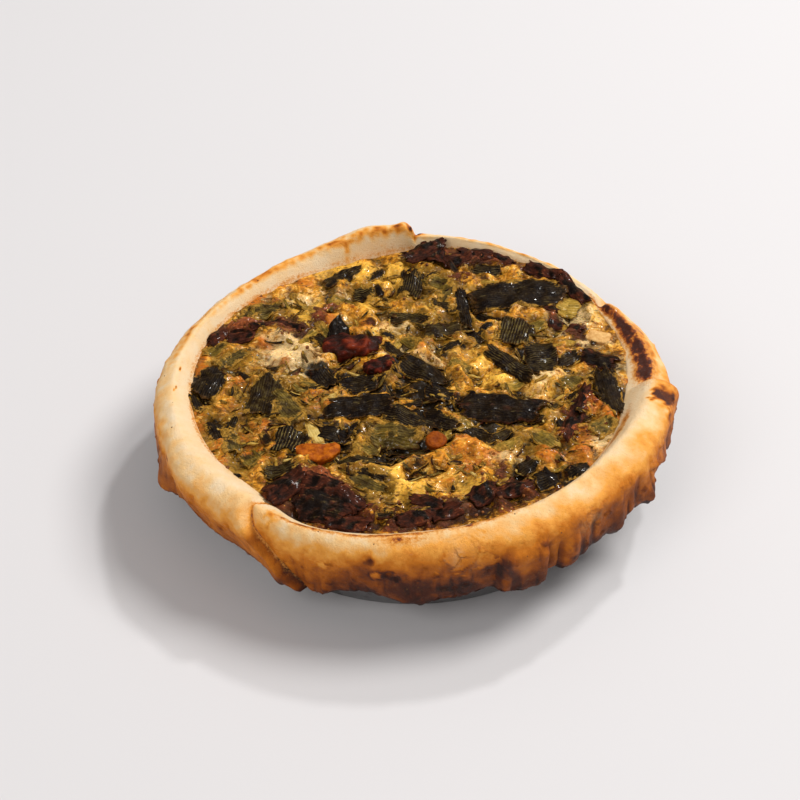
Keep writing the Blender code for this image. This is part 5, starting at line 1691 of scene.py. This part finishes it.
# %% Bits that grow on a surface
def bits_tree(name, material):
    """Geometry Nodes that spread small uneven bits over the upward faces of a piece."""
    tree = bpy.data.node_groups.new(name, "GeometryNodeTree")
    tree.is_modifier = True
    tree.interface.new_socket("Geometry", in_out="INPUT", socket_type="NodeSocketGeometry")
    for label, kind, value in (
        ("Smallest distance", "NodeSocketFloat", 0.003),
        ("Bits per square metre", "NodeSocketFloat", 20000.0),
        ("Bit size", "NodeSocketFloat", 0.001), ("Flatness", "NodeSocketFloat", 0.6),
        ("Where", "NodeSocketString", ""), ("Seed", "NodeSocketInt", 1),
    ):
        tree.interface.new_socket(label, in_out="INPUT", socket_type=kind).default_value = value
    tree.interface.new_socket("Geometry", in_out="OUTPUT", socket_type="NodeSocketGeometry")

    def node(kind, settings=None, inputs=None):
        made = tree.nodes.new(kind)
        for label, value in (settings or {}).items():
            setattr(made, label, value)
        for label, value in (inputs or {}).items():
            if isinstance(value, bpy.types.NodeSocket):
                tree.links.new(value, made.inputs[label])
            else:
                made.inputs[label].default_value = value
        return made

    given = node("NodeGroupInput").outputs
    faces_up = node("ShaderNodeSeparateXYZ", {}, {0: node("GeometryNodeInputNormal").outputs[0]})
    upward = node("FunctionNodeCompare", {"operation": "GREATER_THAN"}, {0: faces_up.outputs[2], 1: 0.1})
    wanted = node("GeometryNodeInputNamedAttribute", {"data_type": "FLOAT"}, {"Name": given["Where"]})
    spread = node("GeometryNodeDistributePointsOnFaces", {"distribute_method": "POISSON"}, {
        "Mesh": given["Geometry"], "Selection": upward.outputs[0], "Distance Min": given["Smallest distance"],
        "Density Max": given["Bits per square metre"], "Density Factor": wanted.outputs[0],
        "Seed": given["Seed"],
    })
    ball = node("GeometryNodeMeshIcoSphere", {}, {"Radius": 0.5, "Subdivisions": 1})
    lumps = node("ShaderNodeTexNoise", {"noise_dimensions": "3D"}, {"Scale": 2.4, "Detail": 1.0})
    push = node("ShaderNodeVectorMath", {"operation": "SUBTRACT"},
                {0: lumps.outputs["Color"], 1: (0.5, 0.5, 0.5)})
    push = node("ShaderNodeVectorMath", {"operation": "SCALE"}, {0: push.outputs[0], "Scale": 0.7})
    uneven = node("GeometryNodeSetPosition", {}, {"Geometry": ball.outputs[0], "Offset": push.outputs[0]})
    size = node("FunctionNodeRandomValue", {"data_type": "FLOAT"}, {2: 0.45, 3: 1.25, "Seed": given["Seed"]})
    size = node("ShaderNodeMath", {"operation": "MULTIPLY"}, {0: size.outputs[1], 1: given["Bit size"]})
    height = node("ShaderNodeMath", {"operation": "MULTIPLY"}, {0: size.outputs[0], 1: given["Flatness"]})
    scale = node("ShaderNodeCombineXYZ", {}, {0: size.outputs[0], 1: size.outputs[0], 2: height.outputs[0]})
    turn_about = node("FunctionNodeRandomValue", {"data_type": "FLOAT_VECTOR"},
                      {0: (-0.4, -0.4, 0.0), 1: (0.4, 0.4, 6.28), "Seed": 7})
    turned = node("FunctionNodeEulerToRotation", {}, {0: turn_about.outputs[0]})
    aligned = node("FunctionNodeRotateRotation", {"rotation_space": "LOCAL"},
                   {0: spread.outputs["Rotation"], 1: turned.outputs[0]})
    placed = node("GeometryNodeInstanceOnPoints", {}, {
        "Points": spread.outputs["Points"], "Instance": uneven.outputs[0], "Rotation": aligned.outputs[0],
        "Scale": scale.outputs[0],
    })
    real = node("GeometryNodeRealizeInstances", {}, {0: placed.outputs[0]})
    smooth = node("GeometryNodeSetShadeSmooth", {}, {0: real.outputs[0]})
    painted = node("GeometryNodeSetMaterial", {}, {"Geometry": smooth.outputs[0], "Material": material})
    node("NodeGroupOutput", {}, {"Geometry": painted.outputs[0]})
    return tree


def grown_bits(name, ground, material, slot, **inputs):
    """A plain mesh piece of the bits that the tree grows on another piece."""
    carrier = bpy.data.objects.new(name + "_ground", ground.data)
    scene.collection.objects.link(carrier)
    modifier = carrier.modifiers.new("bits", "NODES")
    tree = bits_tree(name, material)
    modifier.node_group = tree
    for socket in tree.interface.items_tree:
        if socket.in_out == "INPUT" and socket.name in inputs:
            modifier[socket.identifier] = inputs[socket.name]
    evaluated = carrier.evaluated_get(bpy.context.evaluated_depsgraph_get())
    mesh = bpy.data.meshes.new_from_object(evaluated)
    carrier.modifiers.remove(modifier)
    bpy.data.objects.remove(carrier)
    mesh.name = name
    piece = bpy.data.objects.new(name, mesh)
    scene.collection.objects.link(piece)
    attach(piece, "root")
    print(name, "triangles:", triangles(piece))


print("a bit starts as a ball of 20 faces")

# %% [markdown]
# Three kinds grow on the custard and one on the pastry.  Each grows where the piece is painted for it:
# browned crumbs on the orange parts, bubbles on the clear yellow ones, burnt crumbs on the burnt ones, and
# specks where the pastry is well baked.

# %% Crumbs, bubbles and specks
def bit_finish(name, dark, light, roughness):
    """Small bits, each a little lighter or darker than the next."""
    finish = Finish(name)
    place = finish.place()
    shade = finish.cloud(place, 1.6 * MM, 4.0, 0.6)
    return finish.surface(
        Base_Color=finish.blend(finish.between(shade, 0.32, 0.66), dark, light),
        Roughness=roughness + shade * 0.2,
        Normal=finish.bump(finish.cloud(place, 0.3 * MM, 2.0, 0.6), 0.12 * MM),
        Specular_IOR_Level=0.25,
    )


crumb_finish = bit_finish("browned crumb", (0.16, 0.045, 0.006), (0.62, 0.29, 0.04), 0.45)
bubble_finish = bit_finish("custard bubble", (0.42, 0.20, 0.016), (0.80, 0.56, 0.14), 0.22)
speck_finish = bit_finish("pastry speck", (0.07, 0.020, 0.007), (0.30, 0.10, 0.02), 0.5)
grown_bits("browned_crumbs", filling, crumb_finish, "filling", **{
    "Smallest distance": 0.0014, "Bits per square metre": 60000.0, "Bit size": 0.0010, "Flatness": 0.6,
    "Where": "orange", "Seed": 11,
})
grown_bits("custard_bubbles", filling, bubble_finish, "filling", **{
    "Smallest distance": 0.0016, "Bits per square metre": 40000.0, "Bit size": 0.0010, "Flatness": 0.45,
    "Where": "yellow", "Seed": 12,
})
grown_bits("burnt_crumbs", filling, speck_finish, "filling", **{
    "Smallest distance": 0.0016, "Bits per square metre": 60000.0, "Bit size": 0.0013, "Flatness": 0.6,
    "Where": "burnt", "Seed": 13,
})
grown_bits("pastry_specks", crust, speck_finish, "crust", **{
    "Smallest distance": 0.004, "Bits per square metre": 9000.0, "Bit size": 0.0007, "Flatness": 0.35,
    "Where": "bake", "Seed": 14,
})
